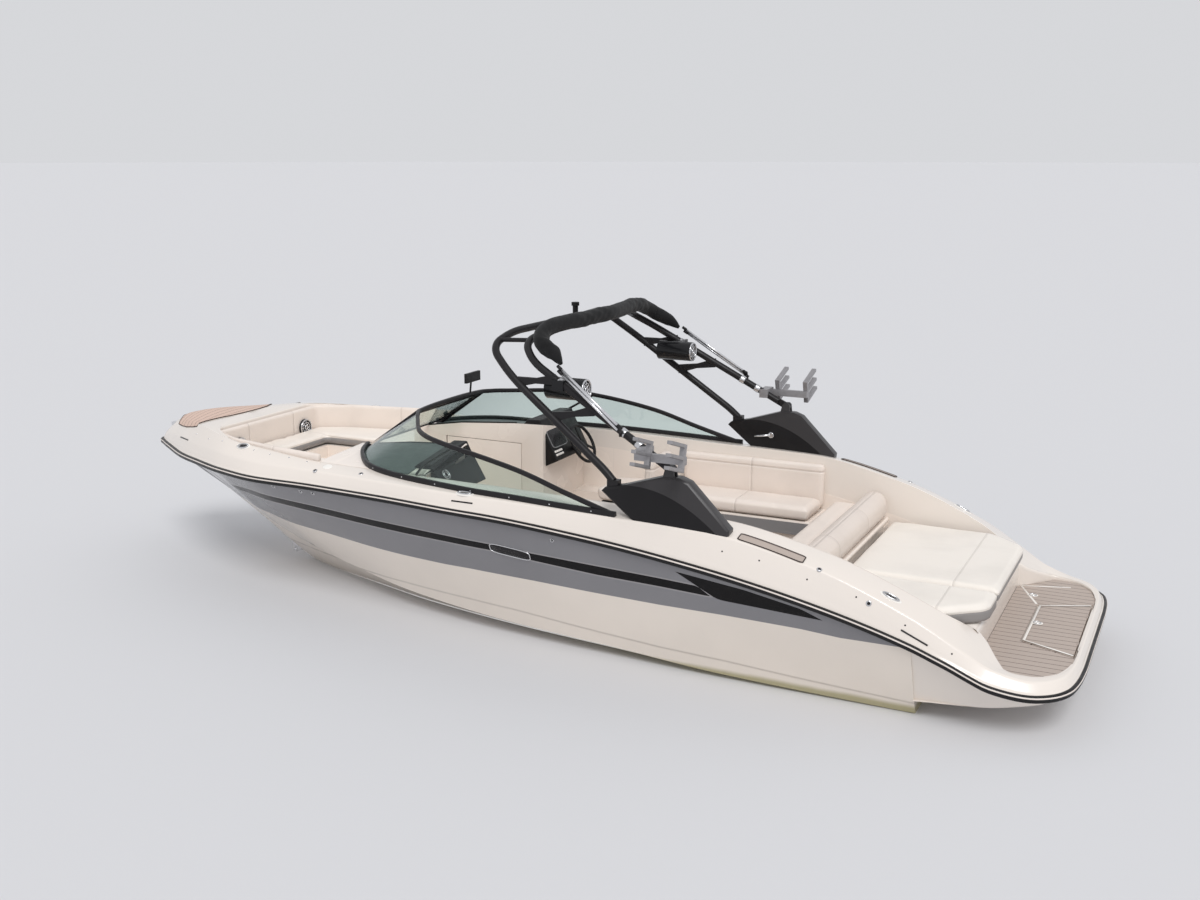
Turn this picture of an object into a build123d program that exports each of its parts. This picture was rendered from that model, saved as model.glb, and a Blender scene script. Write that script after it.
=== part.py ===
from build123d import *
import os
from math import atan2, cos, degrees, hypot, radians, sin, tan

os.makedirs("parts", exist_ok=True)

# Speedboat, a bowrider with a folding wake tower and a sterndrive.
# Millimetres. +X to the bow, +Y to port, +Z up. The origin is amidships on the waterline.

# Hull and deck forms
# Each row is one station. Columns: x, keel height, chine half width and height,
# colour line half width and height, rail half width and height,
# deck edge half width and height, coaming half width and height, height of the deck's crown.
STATIONS = [
    (-3550, -470, 1170, 5, 1325, 300, 1460, 620, 1415, 810, 1140, 860, 870),
    (-2800, -470, 1170, 20, 1335, 420, 1490, 830, 1440, 1100, 1180, 1150, 1160),
    (-2000, -470, 1160, 40, 1325, 500, 1500, 980, 1455, 1255, 1200, 1300, 1320),
    (-1000, -455, 1130, 100, 1290, 520, 1500, 1100, 1460, 1285, 1200, 1320, 1345),
    (0, -420, 1055, 135, 1220, 510, 1500, 1165, 1455, 1305, 1205, 1340, 1370),
    (1000, -375, 900, 190, 1080, 500, 1425, 1180, 1385, 1310, 1190, 1345, 1380),
    (1700, -300, 710, 250, 900, 490, 1355, 1175, 1305, 1305, 1165, 1350, 1390),
    (2350, -170, 500, 310, 690, 480, 1290, 1158, 1225, 1290, 1080, 1378, 1420),
    (2900, 65, 300, 380, 420, 480, 1120, 1143, 1060, 1280, 960, 1400, 1440),
    (3400, 370, 150, 500, 240, 590, 870, 1120, 815, 1260, 720, 1420, 1455),
    (3840, 620, 100, 720, 190, 790, 620, 1095, 565, 1235, 440, 1385, 1440),
    (4250, 820, 60, 880, 120, 930, 335, 1080, 285, 1200, 190, 1300, 1370),
    (4500, 970, 30, 1000, 60, 1022, 150, 1070, 115, 1150, 70, 1205, 1235),
    (4620, 1035, 10, 1045, 18, 1052, 42, 1066, 32, 1100, 18, 1115, 1122),
]
COLUMNS = ("keel", "chine_y", "chine_z", "line_y", "line_z", "rail_y", "rail_z",
           "edge_y", "edge_z", "coaming_y", "coaming_z", "crown")

# The swim platform's stations, aft of the transom. Columns: x, skirt half width and height,
# then rail, deck edge and coaming as above, and the height on the centre line.
PLATFORM_STATIONS = [
    (-3550, 1230, 140, 1460, 620, 1415, 810, 1140, 860, 870),
    (-3800, 1250, 150, 1450, 520, 1395, 670, 1090, 710, 715),
    (-4100, 1270, 190, 1420, 390, 1345, 500, 1240, 480, 480),
    (-4400, 1220, 240, 1330, 340, 1270, 435, 1210, 438, 438),
    (-4520, 1130, 255, 1235, 340, 1180, 432, 1125, 434, 434),
    (-4600, 980, 265, 1080, 345, 1030, 430, 980, 432, 432),
    (-4640, 730, 270, 820, 350, 780, 425, 740, 427, 427),
]
PLATFORM_COLUMNS = ("skirt_y", "skirt_z", "rail_y", "rail_z", "edge_y", "edge_z",
                    "coaming_y", "coaming_z", "crown")

HULL_WALL = 28
CAVITY_BOW = 3350
SEAM = 0.3
RUN_CLEAR = 6
PIN_FIT = 0.08

# Cockpit and bow well
SOLE_Z = 520
SOLE_THICK = 50
LEDGE_Z = 760
SHELF_Z = 1000
BOW_SOLE_Z = 720
BOW_SEAT_Z = 1080
WELL_INSET = 10
COCKPIT_AFT = -2750
CONSOLE_AFT = 330
BOW_STEP_X = 1450
CONSOLE_FORE = 1760
BOW_WELL_FORE = 3290
FOOTWELL_FORE = 2860
WALKWAY_HALF = 350
FOOTWELL_HALF = 410
SOLE_HALF_AFT = 980
SOLE_HALF_FORE = 760

# Aft deck, engine bay and swim platform
SUN_DECK_Z = 650
SUN_DECK_AFT = -3930
PLATFORM_Z = 405
MAT_THICK = 12
BAY_AFT = -3480
BAY_FORE = -2830
BAY_PORT = 400
BAY_STARBOARD = -1000
LID_THICK = 30
PAD_SPLIT_Y = 470
PAD_FORE = -2780
PAD_AFT = -3990
HATCH_FORE = -4160
HATCH_AFT = -4560
HATCH_HALF_FORE = 450
HATCH_HALF_AFT = 640
HATCH_THICK = 24
HATCH_SIDE = 12
HATCH_PANEL_INSET = 30
HATCH_MAT_GAP = 4
LOCKER_DEPTH = 120
HINGE_R = 6
HINGE_LONG = 70
LID_HINGE_R = 8
LID_HINGE_IN = 4

# Seats
SEAT_TOP = 930
CUSHION = 120
BACK_THICK = 90
BOW_CUSHION = 100
BOW_BACK_THICK = 75
LOUNGE_FRONT_Y = 640
LOUNGE_AFT = -2160
LOUNGE_FORE_STARBOARD = -760
LOUNGE_FORE_PORT = 60
BENCH_FORE = -2250
ROLL_THICK = 240
ROLL_TOP = 1060
ROLL_GAP = 61

# Sterndrive, measured aft from the transom and then from the tilt axis
TRANSOM_X = STATIONS[0][0]
STEER_OUT = 140
STEER_X = TRANSOM_X - STEER_OUT
TILT_X = STEER_X
TILT_Z = -90
PLATE_Z = -440
SHAFT_Z = -660
PROP_BACK = 395
PROP_X = TILT_X - PROP_BACK
PROP_R = 190
HUB_R = 55
BLADES = 4
PROP_GAP = 1
SHIELD_THICK = 30
STEER_PIN_R = 14
TILT_PIN_R = 12
YOKE_HALF = 110
YOKE_WALL = 24
SHAFT_R = 16
HUB_LONG = 90

# Engine and its beds
ENGINE_AFT = -3465
ENGINE_FORE = -2640
ENGINE_HALF = 285
ENGINE_TOP = 350
BED_TOP = -300

# Tower
TUBE_R = 31
PIVOT_X = -1690
PIVOT_Y = 1395
PIVOT_Z = 1690
PIN_R = 9
KNUCKLE_R = 36
KNUCKLE_HALF = 24
EAR_THICK = 12
WEB_END = 42
WEB_WAIST = 22
WEB_THICK = 28

# Helm
WHEEL_X = 120
WHEEL_Y = -760
WHEEL_Z = 1290
WHEEL_R = 185
WHEEL_TILT = 28
RIM_R = 15

# Rub rail, doors, dash and seat sizes
RUB_OUT = 24
RUB_BELOW = 30
RUB_ABOVE = 22
RUB_SLOPE = 8
RUB_BUTTS = (-4500, -4080, -3530, -1980, 20, 1720, 2920, 3860)
PLATFORM_AFT = -4640
DOOR_AFT = 560
DOOR_FORE = 1390
DOOR_FOOT = 560
DOOR_TOP = 1330
DOOR_THICK = 30
DOOR_HINGE_GAP = 12
DOOR_PIN_R = 5
DOOR_PIN_IN = 8
DOOR_PIN_DEEP = 20
DASH_HALF = 300
DASH_FOOT = (195, 1185)
DASH_BROW = (350, 1478)
BACK_TOP = 1240
HELM_SEAT_X = -400
BOW_BACK_TOP = 1385
PAD_TOP = 795
FAIRING_IN = 1345
FAIRING_OUT = 1448
PORT_CONSOLE_Y = 500

# Canopy boot, speakers, racks and small fittings
BOOT_R = 66
SPEAKER_R = 88
SPEAKER_LONG = 330
SPEAKER_Y = 1120
SPEAKER_Z = 2185
SPEAKER_X = -680
RACK_X = (-1560, -1830)
RACK_Y = 1530
RACK_Z = 1725
RACK_TILT = 17
PRONG_LONG = 300
PRONG_THICK = 26
PRONG_PITCH = 92
EYE_Z = 110
EYE_OUT = 40
EYE_R = 14
EYE_THICK = 22
BOW_PAD_THICK = 10

# Windshield: each row is one station of the port side, from the wing's tip round to the opening.
# Columns: foot x and y, then the top edge's x, y and height. The foot's height is the deck's.
GLASS_STATIONS = [
    (-1260, 1405, -1205, 1400, 1365),
    (-830, 1412, -790, 1400, 1440),
    (-390, 1400, -360, 1380, 1500),
    (60, 1362, 215, 1335, 1622),
    (490, 1305, 540, 1240, 1678),
    (930, 1185, 740, 1090, 1708),
    (1330, 985, 890, 890, 1728),
    (1560, 770, 1010, 720, 1742),
    (1640, 580, 1095, 560, 1750),
]
FRAME_DEEP = 32
FRAME_WIDE = 26
GLASS_THICK = 6
FRAME_SINK = 30
WINDOW_SILL = 56
WINDOW_HEAD = 34
WINDOW_BAR = 20
WINDOW_DEEP = 16
KNUCKLE_OUT = 30
WINDOW_KNUCKLE_R = 9
WINDOW_PIN_R = 4
OPENING_HALF = 548
WINDOW_GAP = 6
HEADER_Z = 1762
HEADER_X = 1110

# The cowl's ridge beside the walkway. Columns: x and height.
COWL = [(CONSOLE_AFT, 1525), (630, 1515), (1220, 1468), (1600, 1408), (CONSOLE_FORE, 1398)]


def column(x, name, table=STATIONS, names=COLUMNS):
    """The value of one column at any x, in a straight line between stations."""
    rows = sorted(table)
    place = names.index(name) + 1
    for low, high in zip(rows, rows[1:]):
        if low[0] <= x <= high[0]:
            share = (x - low[0]) / (high[0] - low[0])
            return low[place] + share * (high[place] - low[place])
    raise ValueError(x)


def wire_at(x, half):
    """A closed outline in the plane of one station, mirrored about the centre line."""
    port = [(x, y, z) for y, z in half]
    starboard = [(x, -y, z) for y, z in reversed(half) if y > 0]
    return Wire.make_polygon([Vector(*p) for p in port + starboard], close=True)


def loft_stations(xs, half_at):
    """A solid through the outlines at each x, with straight lines from one to the next."""
    return Solid.make_loft([wire_at(x, half_at(x)) for x in xs], ruled=True)


def hull_half(x):
    return [(0, column(x, "keel")), (column(x, "chine_y"), column(x, "chine_z")),
            (column(x, "line_y"), column(x, "line_z")),
            (column(x, "rail_y"), column(x, "rail_z")), (0, column(x, "rail_z"))]


def cavity_half(x, top):
    wall = HULL_WALL
    return [(0, column(x, "keel") + 1.3 * wall),
            (column(x, "chine_y") - wall, column(x, "chine_z") + 0.4 * wall),
            (column(x, "line_y") - wall, column(x, "line_z")),
            (column(x, "rail_y") - wall, column(x, "rail_z") - SEAM),
            (column(x, "rail_y") - wall, column(x, "rail_z") + top),
            (0, column(x, "rail_z") + top)]


def cavity_fit_half(x):
    """The inside of the hull up to the underside of the deck, which the inner moulding fills."""
    return [point for index, point in enumerate(cavity_half(x, -SEAM)) if index != 3]


def deck_half(x):
    return [(0, column(x, "rail_z")), (column(x, "rail_y"), column(x, "rail_z")),
            (column(x, "edge_y"), column(x, "edge_z")),
            (column(x, "coaming_y"), column(x, "coaming_z")), (0, column(x, "crown"))]


def platform_half(x):
    def at(name):
        return column(x, name, PLATFORM_STATIONS, PLATFORM_COLUMNS)
    return [(0, at("skirt_z")), (at("skirt_y"), at("skirt_z")), (at("rail_y"), at("rail_z")),
            (at("edge_y"), at("edge_z")), (at("coaming_y"), at("coaming_z")), (0, at("crown"))]


def prism(outline, low, high):
    """An upright solid on a plan outline of (x, y) points."""
    base = Wire.make_polygon([Vector(x, y, low) for x, y in outline], close=True)
    return Solid.extrude(Face(base), Vector(0, 0, high - low))


def mirrored(half):
    """A plan outline from its port half, which starts and ends away from the centre line."""
    return half + [(x, -y) for x, y in reversed(half)]


def side_prism(outline, low, high):
    """A solid of a side profile of (x, z) points between two values of y."""
    base = Wire.make_polygon([Vector(x, low, z) for x, z in outline], close=True)
    return Solid.extrude(Face(base), Vector(0, high - low, 0))


def block(x0, x1, y0, y1, z0, z1):
    return Pos((x0 + x1) / 2, (y0 + y1) / 2, (z0 + z1) / 2) * Box(x1 - x0, y1 - y0, z1 - z0)


def both_sides(piece):
    return Compound(children=[piece, mirror(piece, about=Plane.XZ)])


def corner_radii(points):
    """Each corner's largest arc: 0.45 of its shorter run, over the tangent of half the turn."""
    radii = []
    for a, b, c in zip(points, points[1:], points[2:]):
        first = Vector(*b) - Vector(*a)
        second = Vector(*c) - Vector(*b)
        half_turn = radians(first.get_angle(second)) / 2
        radii.append(0.45 * min(first.length, second.length) / tan(half_turn))
    return radii


def tube(points, radius):
    """A round bar along straight runs that are joined by tangent arcs."""
    if len(points) > 2:
        path = FilletPolyline(*points, radius=corner_radii(points))
    else:
        path = Polyline(*points)
    plane = Plane(origin=Vector(*points[0]), z_dir=Vector(*points[1]) - Vector(*points[0]))
    return sweep(plane * Circle(radius), path=path)


def save(name, shape):
    export_step(shape, "parts/" + name + ".step")


HULL_XS = [row[0] for row in STATIONS]
PLATFORM_XS = [row[0] for row in PLATFORM_STATIONS]


def well_line(x_low, x_high, step=10):
    """Port half of a plan outline that runs just inside the coaming from one x to another."""
    inside = [x for x in HULL_XS if x_low + step < x < x_high - step]
    return [(x, column(x, "coaming_y") - WELL_INSET) for x in [x_low] + inside + [x_high]]


def hull_y(x, z):
    """Half width of the hull's outside at a height between its chine and its rail."""
    corners = [(column(x, name + "_z"), column(x, name + "_y")) for name in ("chine", "line", "rail")]
    for (z0, y0), (z1, y1) in zip(corners, corners[1:]):
        if z <= z1:
            return y0 + (y1 - y0) * (z - z0) / (z1 - z0)
    return corners[-1][1]


def low_well_line(x_low, x_high, z):
    """The well's outline lower down, where the hull's sides may be closer in than the coaming."""
    inside = [x for x in HULL_XS if x_low + 10 < x < x_high - 10]
    return [(x, min(column(x, "coaming_y") - WELL_INSET, hull_y(x, z) - HULL_WALL - WELL_INSET))
            for x in [x_low] + inside + [x_high]]


# Spaces that are open to the sky, which the deck and the inner moulding leave free
SKY = 2000
WIDE = 5000
SOLE_OUTLINE = [(COCKPIT_AFT, SOLE_HALF_AFT), (CONSOLE_AFT, SOLE_HALF_AFT),
                (BOW_STEP_X, SOLE_HALF_FORE)]
cockpit_well = prism(mirrored(well_line(COCKPIT_AFT, CONSOLE_FORE)), SHELF_Z, SKY)
low_well = prism(mirrored(low_well_line(COCKPIT_AFT, CONSOLE_FORE, LEDGE_Z)), LEDGE_Z, SKY)
bow_well = prism(mirrored(well_line(CONSOLE_FORE, BOW_WELL_FORE)), BOW_SEAT_Z, SKY)
sole_well = prism(mirrored(SOLE_OUTLINE), SOLE_Z, SKY)
step_well = block(BOW_STEP_X, FOOTWELL_FORE, -FOOTWELL_HALF, FOOTWELL_HALF, BOW_SOLE_Z, SKY)
aft_inner = column(-3550, "coaming_y") - WELL_INSET
sun_well = prism(mirrored([(SUN_DECK_AFT, 890), (-3830, 1000), (-3700, aft_inner),
                           (-3550, aft_inner),
                           (-2800, column(-2800, "coaming_y") - WELL_INSET),
                           (COCKPIT_AFT, column(COCKPIT_AFT, "coaming_y") - WELL_INSET)]),
                 SUN_DECK_Z, SKY)
MAT_OUTLINE = [(SUN_DECK_AFT, 890), (-4195, 1210), (-4300, 1200), (-4420, 1130), (-4520, 1000),
               (-4575, 800)]
mat_well = prism(mirrored(MAT_OUTLINE), PLATFORM_Z, SKY)
wells = cockpit_well + low_well + bow_well + sole_well + step_well + sun_well
bay_hole = block(BAY_AFT, BAY_FORE, BAY_STARBOARD, BAY_PORT, 0, SKY)


def build_hull():
    outer = loft_stations(HULL_XS, hull_half)
    inside_xs = [BAY_AFT - 20] + [x for x in HULL_XS if BAY_AFT < x < CAVITY_BOW] + [CAVITY_BOW]
    cavity = loft_stations(inside_xs, lambda x: cavity_half(x, 60))
    hull = outer - cavity
    beds = [block(-3490, 1500, side * 240 - 40, side * 240 + 40, -440, BED_TOP) for side in (-1, 1)]
    for bed in beds:
        hull = hull + (bed & outer)
    return hull


def cut_across(solid, places):
    """Thin seams square to the boat's length, which part a moulding into panels or lengths."""
    for x in places:
        solid = solid - block(x - SEAM, x, -WIDE, WIDE, -WIDE, WIDE)
    return Compound(children=solid.solids())


def build_deck():
    deck = loft_stations(HULL_XS, deck_half) + loft_stations(PLATFORM_XS, platform_half)
    locker_top = PLATFORM_Z + 1
    locker = prism(mirrored([(HATCH_FORE - 30, HATCH_HALF_FORE - 48),
                             (HATCH_AFT + 30, HATCH_HALF_AFT - 60)]),
                   PLATFORM_Z - LOCKER_DEPTH, locker_top)
    rebate = prism(mirrored([(HATCH_FORE, HATCH_HALF_FORE), (HATCH_AFT, HATCH_HALF_AFT)]),
                   PLATFORM_Z - HATCH_THICK, locker_top)
    return deck - wells - bay_hole - mat_well - locker - rebate


def panel_seams():
    """Thin gaps where the panels of the inner moulding meet."""
    low = SOLE_Z - SOLE_THICK - 1
    seams = [block(x, x + SEAM, -WIDE, WIDE, low, SKY)
             for x in (COCKPIT_AFT - SEAM, BOW_STEP_X, FOOTWELL_FORE, BAY_FORE)]
    for y in (FOOTWELL_HALF, -FOOTWELL_HALF - SEAM):
        seams.append(block(BOW_STEP_X, FOOTWELL_FORE, y, y + SEAM, low, SKY))
    for y in (BAY_PORT, BAY_STARBOARD - SEAM):
        seams.append(block(-WIDE, BAY_FORE, y, y + SEAM, low, SKY))
    around = prism(mirrored([(x, y + SEAM) for x, y in SOLE_OUTLINE]), low, SKY)
    return seams + [around - prism(mirrored(SOLE_OUTLINE), low - 1, SKY + 1)]


def build_inner():
    """The floor, the side liners, the bow seats' moulding and the aft deck's frame, as panels."""
    inside_xs = [BAY_AFT - 20] + [x for x in HULL_XS if BAY_AFT < x < CAVITY_BOW] + [CAVITY_BOW]
    filled = loft_stations(inside_xs, cavity_fit_half)
    above = block(-WIDE, WIDE, -WIDE, WIDE, SOLE_Z - SOLE_THICK, SKY)
    moulding = (filled & above) - wells - bay_hole
    for seam in panel_seams():
        moulding = moulding - seam
    return Compound(children=moulding.solids())


def console_top(x, y):
    """Height of the cowl and dash, which falls from the walkway to the coaming."""
    inner = COWL[-1][1]
    for (x0, z0), (x1, z1) in zip(COWL, COWL[1:]):
        if x0 <= x <= x1:
            inner = z0 + (z1 - z0) * (x - x0) / (x1 - x0)
    share = (abs(y) - WALKWAY_HALF) / (column(x, "coaming_y") - WALKWAY_HALF)
    return inner + share * (column(x, "coaming_z") - inner)


def deck_top(x, y):
    """Height of the side deck, or of the cowl inboard of the coaming."""
    inner, outer = column(x, "coaming_y"), column(x, "edge_y")
    if abs(y) < inner:
        return console_top(x, y)
    share = (abs(y) - inner) / (outer - inner)
    return column(x, "coaming_z") + share * (column(x, "edge_z") - column(x, "coaming_z"))


def rub_section(x, table, names):
    y, z = column(x, "rail_y", table, names), column(x, "rail_z", table, names)
    outline = [(y, z - RUB_BELOW), (y + RUB_OUT, z - RUB_BELOW + RUB_SLOPE),
               (y + RUB_OUT, z + RUB_ABOVE - RUB_SLOPE), (y, z + RUB_ABOVE)]
    return Wire.make_polygon([Vector(x, *point) for point in outline], close=True)


def build_rub_rail():
    side = Solid.make_loft([rub_section(x, STATIONS, COLUMNS) for x in HULL_XS], ruled=True)
    side = side + Solid.make_loft([rub_section(x, PLATFORM_STATIONS, PLATFORM_COLUMNS)
                                   for x in PLATFORM_XS], ruled=True)
    half = column(PLATFORM_AFT, "rail_y", PLATFORM_STATIONS, PLATFORM_COLUMNS) + RUB_OUT
    z = column(PLATFORM_AFT, "rail_z", PLATFORM_STATIONS, PLATFORM_COLUMNS)
    outline = [(PLATFORM_AFT, z - RUB_BELOW), (PLATFORM_AFT - RUB_OUT, z - RUB_BELOW + RUB_SLOPE),
               (PLATFORM_AFT - RUB_OUT, z + RUB_ABOVE - RUB_SLOPE), (PLATFORM_AFT, z + RUB_ABOVE)]
    stern = side_prism(outline, -half, half)
    tip_x = HULL_XS[-1]
    tip_y = column(tip_x, "rail_y") + RUB_OUT
    tip_z = column(tip_x, "rail_z")
    nose = block(tip_x, tip_x + RUB_OUT, -tip_y, tip_y, tip_z - RUB_BELOW, tip_z + RUB_ABOVE)
    return cut_across(side + mirror(side, about=Plane.XZ) + stern + nose, RUB_BUTTS)


def glass_frame_station(row):
    foot = Vector(row[0], row[1], deck_top(row[0], row[1]))
    return foot, Vector(*row[2:])


def strip(rows, low, high, thick):
    """A thin wall between the feet and tops of the rows, from one height up it to another."""
    ends = [glass_frame_station(row) for row in rows]
    wires = []
    for index, (foot, top) in enumerate(ends):
        before = ends[max(index - 1, 0)][0]
        after = ends[min(index + 1, len(ends) - 1)][0]
        up = (top - foot).normalized()
        out = (after - before).cross(up).normalized() * (thick / 2)
        length = (top - foot).length
        bottom_point = foot + up * low(length)
        top_point = foot + up * high(length)
        wires.append(Wire.make_polygon([bottom_point - out, bottom_point + out,
                                        top_point + out, top_point - out], close=True))
    return Solid.make_loft(wires, ruled=True)


def window_plane():
    """The plane of the centre window's posts: origin at their feet, y up along them."""
    row = GLASS_STATIONS[-1]
    foot = Vector(row[0], 0, deck_top(row[0], row[1]))
    top = Vector(row[2], 0, row[4])
    lean = (top - foot).normalized()
    return Plane(origin=foot, x_dir=(0, 1, 0), z_dir=(lean.Z, 0, -lean.X)), (top - foot).length


def window_hinge_heights(length):
    """Middles of the two hinges, along the starboard post."""
    height = length - WINDOW_HEAD - WINDOW_SILL
    return [WINDOW_SILL + 0.2 * height, WINDOW_SILL + 0.8 * height]


def rod(plane, x, y, z, radius, length):
    """A round bar along a plane's y direction."""
    return plane * Pos(x, y, z) * Rot(90, 0, 0) * Cylinder(radius, length)


def build_windshield(supports):
    rows = GLASS_STATIONS
    foot_rail = strip(rows, lambda l: -FRAME_SINK, lambda l: min(FRAME_DEEP, l), FRAME_WIDE)
    top_rail = strip(rows, lambda l: max(l - FRAME_DEEP, 0), lambda l: l, FRAME_WIDE)
    post_rows = [rows[-1], (rows[-1][0] + 8, OPENING_HALF, rows[-1][2] + 8, OPENING_HALF,
                            rows[-1][4])]
    post = strip(post_rows, lambda l: -FRAME_SINK, lambda l: l, FRAME_WIDE)
    port = foot_rail + top_rail + post
    top = Vector(*rows[-1][2:])
    header = tube([(top.X, top.Y - 10, top.Z - 14), (HEADER_X, 0, HEADER_Z),
                   (top.X, 10 - top.Y, top.Z - 14)], 15)
    frame = port + mirror(port, about=Plane.XZ) + header
    for support in supports:
        frame = frame - support
    glass = strip(rows[2:], lambda l: FRAME_DEEP + SEAM, lambda l: l - FRAME_DEEP - SEAM,
                  GLASS_THICK)
    glass = both_sides(glass) - frame
    plane, length = window_plane()
    hinge_x = -OPENING_HALF + RUN_CLEAR / 3
    for height in window_hinge_heights(length):
        for end in (-1, 1):
            y = height + end * 26
            ear = rod(plane, hinge_x, y, KNUCKLE_OUT, WINDOW_KNUCKLE_R, 10)
            web = plane * Pos(hinge_x - 14, y, KNUCKLE_OUT - 8) * Box(28, 10, 16)
            frame = frame + ear + web
        frame = frame + rod(plane, hinge_x, height, KNUCKLE_OUT, WINDOW_PIN_R, 60)
    return frame, glass


def build_centre_window():
    """The walk-through window, hinged on the starboard post and closed against the port one."""
    half = OPENING_HALF - WINDOW_GAP
    plane, length = window_plane()
    height = length - WINDOW_HEAD - WINDOW_SILL
    middle = WINDOW_SILL + height / 2
    inner = Pos(0, middle, 0) * Box(2 * (half - WINDOW_BAR), height - 2 * WINDOW_BAR, 2 * WINDOW_DEEP)
    bars = plane * (Pos(0, middle, 0) * Box(2 * half, height, WINDOW_DEEP) - inner)
    pane = plane * Pos(0, middle, 0) * Box(2 * (half - WINDOW_BAR), height - 2 * WINDOW_BAR, GLASS_THICK)
    hinge_x = -OPENING_HALF + RUN_CLEAR / 3
    for place in window_hinge_heights(length):
        barrel = rod(plane, hinge_x, place, KNUCKLE_OUT, WINDOW_KNUCKLE_R, 41)
        web = plane * Pos(hinge_x + 9, place, (6 + KNUCKLE_OUT) / 2) * Box(18, 41, KNUCKLE_OUT - 6)
        hole = rod(plane, hinge_x, place, KNUCKLE_OUT, WINDOW_PIN_R + PIN_FIT, 80)
        bars = bars + barrel + web - hole
    return pane, bars


def build_console(inner_y, side):
    """A console from the cockpit floor up to the dash, from the walkway out to the coaming."""
    def section(x):
        outer = column(x, "coaming_y")
        outline = [(inner_y, SOLE_Z - 10), (outer + 60, SOLE_Z - 10),
                   (outer + 60, column(x, "coaming_z") - 60 * 0.15),
                   (outer, column(x, "coaming_z")), (inner_y, console_top(x, inner_y))]
        return Wire.make_polygon([Vector(x, side * y, z) for y, z in outline], close=True)
    solid = Solid.make_loft([section(x) for x in (CONSOLE_AFT, 630, 1000, 1220, 1600,
                                                  CONSOLE_FORE - 1)], ruled=True)
    return solid & wells


def door_pin(deep, radius):
    """The door's pin, which stands out above and below its fore edge."""
    low, high = DOOR_FOOT - deep, DOOR_TOP + deep
    x = DOOR_FORE - DOOR_HINGE_GAP - DOOR_PIN_IN
    y = -WALKWAY_HALF - 1 - DOOR_PIN_IN
    return Pos(x, y, (low + high) / 2) * Cylinder(radius, high - low)


def build_cabin(console):
    """The starboard console is hollow: a small cabin with a doorway from the walkway."""
    wall = DOOR_THICK + 8
    cabin = block(DOOR_AFT - 90, DOOR_FORE + 40, -720, -WALKWAY_HALF - wall, SOLE_Z, DOOR_TOP)
    doorway = block(DOOR_AFT, DOOR_FORE, -WALKWAY_HALF - wall - 1, -WALKWAY_HALF + 1,
                    DOOR_FOOT, DOOR_TOP)
    return console - cabin - doorway - door_pin(DOOR_PIN_DEEP + SEAM, DOOR_PIN_R + PIN_FIT)


def build_head_door():
    gap = RUN_CLEAR
    panel = block(DOOR_AFT + gap, DOOR_FORE - DOOR_HINGE_GAP, -WALKWAY_HALF - DOOR_THICK,
                  -WALKWAY_HALF - 1, DOOR_FOOT + gap, DOOR_TOP - gap)
    return panel + door_pin(DOOR_PIN_DEEP, DOOR_PIN_R)


def build_dash(side, consoles):
    """The instrument hood on a console; its sloping face looks at the driver."""
    outline = [(CONSOLE_AFT, 1120), DASH_FOOT, DASH_BROW, (385, 1560), (520, 1552),
               (600, 1460), (600, 1300), (CONSOLE_AFT, 1300)]
    middle = side * abs(WHEEL_Y)
    dash = side_prism(outline, middle - DASH_HALF, middle + DASH_HALF)
    for console in consoles:
        dash = dash - console
    return dash


def dash_distance():
    """How far the wheel's middle stands off the dash's sloping face."""
    run, rise = DASH_BROW[0] - DASH_FOOT[0], DASH_BROW[1] - DASH_FOOT[1]
    across = (WHEEL_Z - DASH_FOOT[1]) * run - (WHEEL_X - DASH_FOOT[0]) * rise
    return across / hypot(run, rise)


def build_steering_wheel():
    """Rim, three spokes and hub, on a shaft that ends at the dash."""
    plane = Plane(origin=(WHEEL_X, WHEEL_Y, WHEEL_Z), x_dir=(0, 1, 0),
                  z_dir=(-cos(radians(WHEEL_TILT)), 0, sin(radians(WHEEL_TILT))))
    wheel = plane * Torus(WHEEL_R, RIM_R) + plane * Pos(0, 0, -10) * Cylinder(42, 44)
    for turn in (0, 120, 240):
        spoke = Pos(0, -WHEEL_R / 2 - 10, 0) * Box(26, WHEEL_R - 30, 9)
        wheel = wheel + plane * Rot(0, 0, turn) * spoke
    low = dash_distance() - SEAM
    return wheel + plane * Pos(0, 0, -(20 + low) / 2) * Cylinder(22, low - 20)


def seat_block(x0, x1, y0, y1, low, high):
    """A seat's base, cut to the open space that it stands in."""
    return block(x0, x1, y0, y1, low, high) & wells


def build_seat_bases():
    top = SEAT_TOP - CUSHION
    starboard = seat_block(LOUNGE_AFT, LOUNGE_FORE_STARBOARD, -1300, -LOUNGE_FRONT_Y - 30, 0, top)
    port = seat_block(LOUNGE_AFT, LOUNGE_FORE_PORT, LOUNGE_FRONT_Y + 30, 1300, 0, top)
    bench = seat_block(COCKPIT_AFT + 1, BENCH_FORE - 30, -1300, 1300, 0, top)
    return Compound(children=[starboard, port, bench])


def build_lounge_cushions():
    low = SEAT_TOP - CUSHION + SEAM
    wall = column(LOUNGE_AFT, "coaming_y") - WELL_INSET - BACK_THICK - RUN_CLEAR
    starboard = block(LOUNGE_AFT, LOUNGE_FORE_STARBOARD, -wall, -LOUNGE_FRONT_Y, low, SEAT_TOP)
    port = block(LOUNGE_AFT, LOUNGE_FORE_PORT, LOUNGE_FRONT_Y, wall, low, SEAT_TOP)
    bench = block(COCKPIT_AFT + ROLL_THICK + 6, BENCH_FORE, -wall, wall, low, SEAT_TOP)
    return Compound(children=[starboard, port, bench])


def build_lounge_backs():
    low = SEAT_TOP - CUSHION + SEAM
    wall = min(column(x, "coaming_y") for x in (LOUNGE_AFT, 0)) - WELL_INSET - SEAM
    starboard = block(LOUNGE_AFT, LOUNGE_FORE_STARBOARD, -wall, BACK_THICK - wall, low, BACK_TOP)
    port = block(LOUNGE_AFT, LOUNGE_FORE_PORT, wall - BACK_THICK, wall, low, BACK_TOP)
    return Compound(children=[starboard, port])


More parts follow.
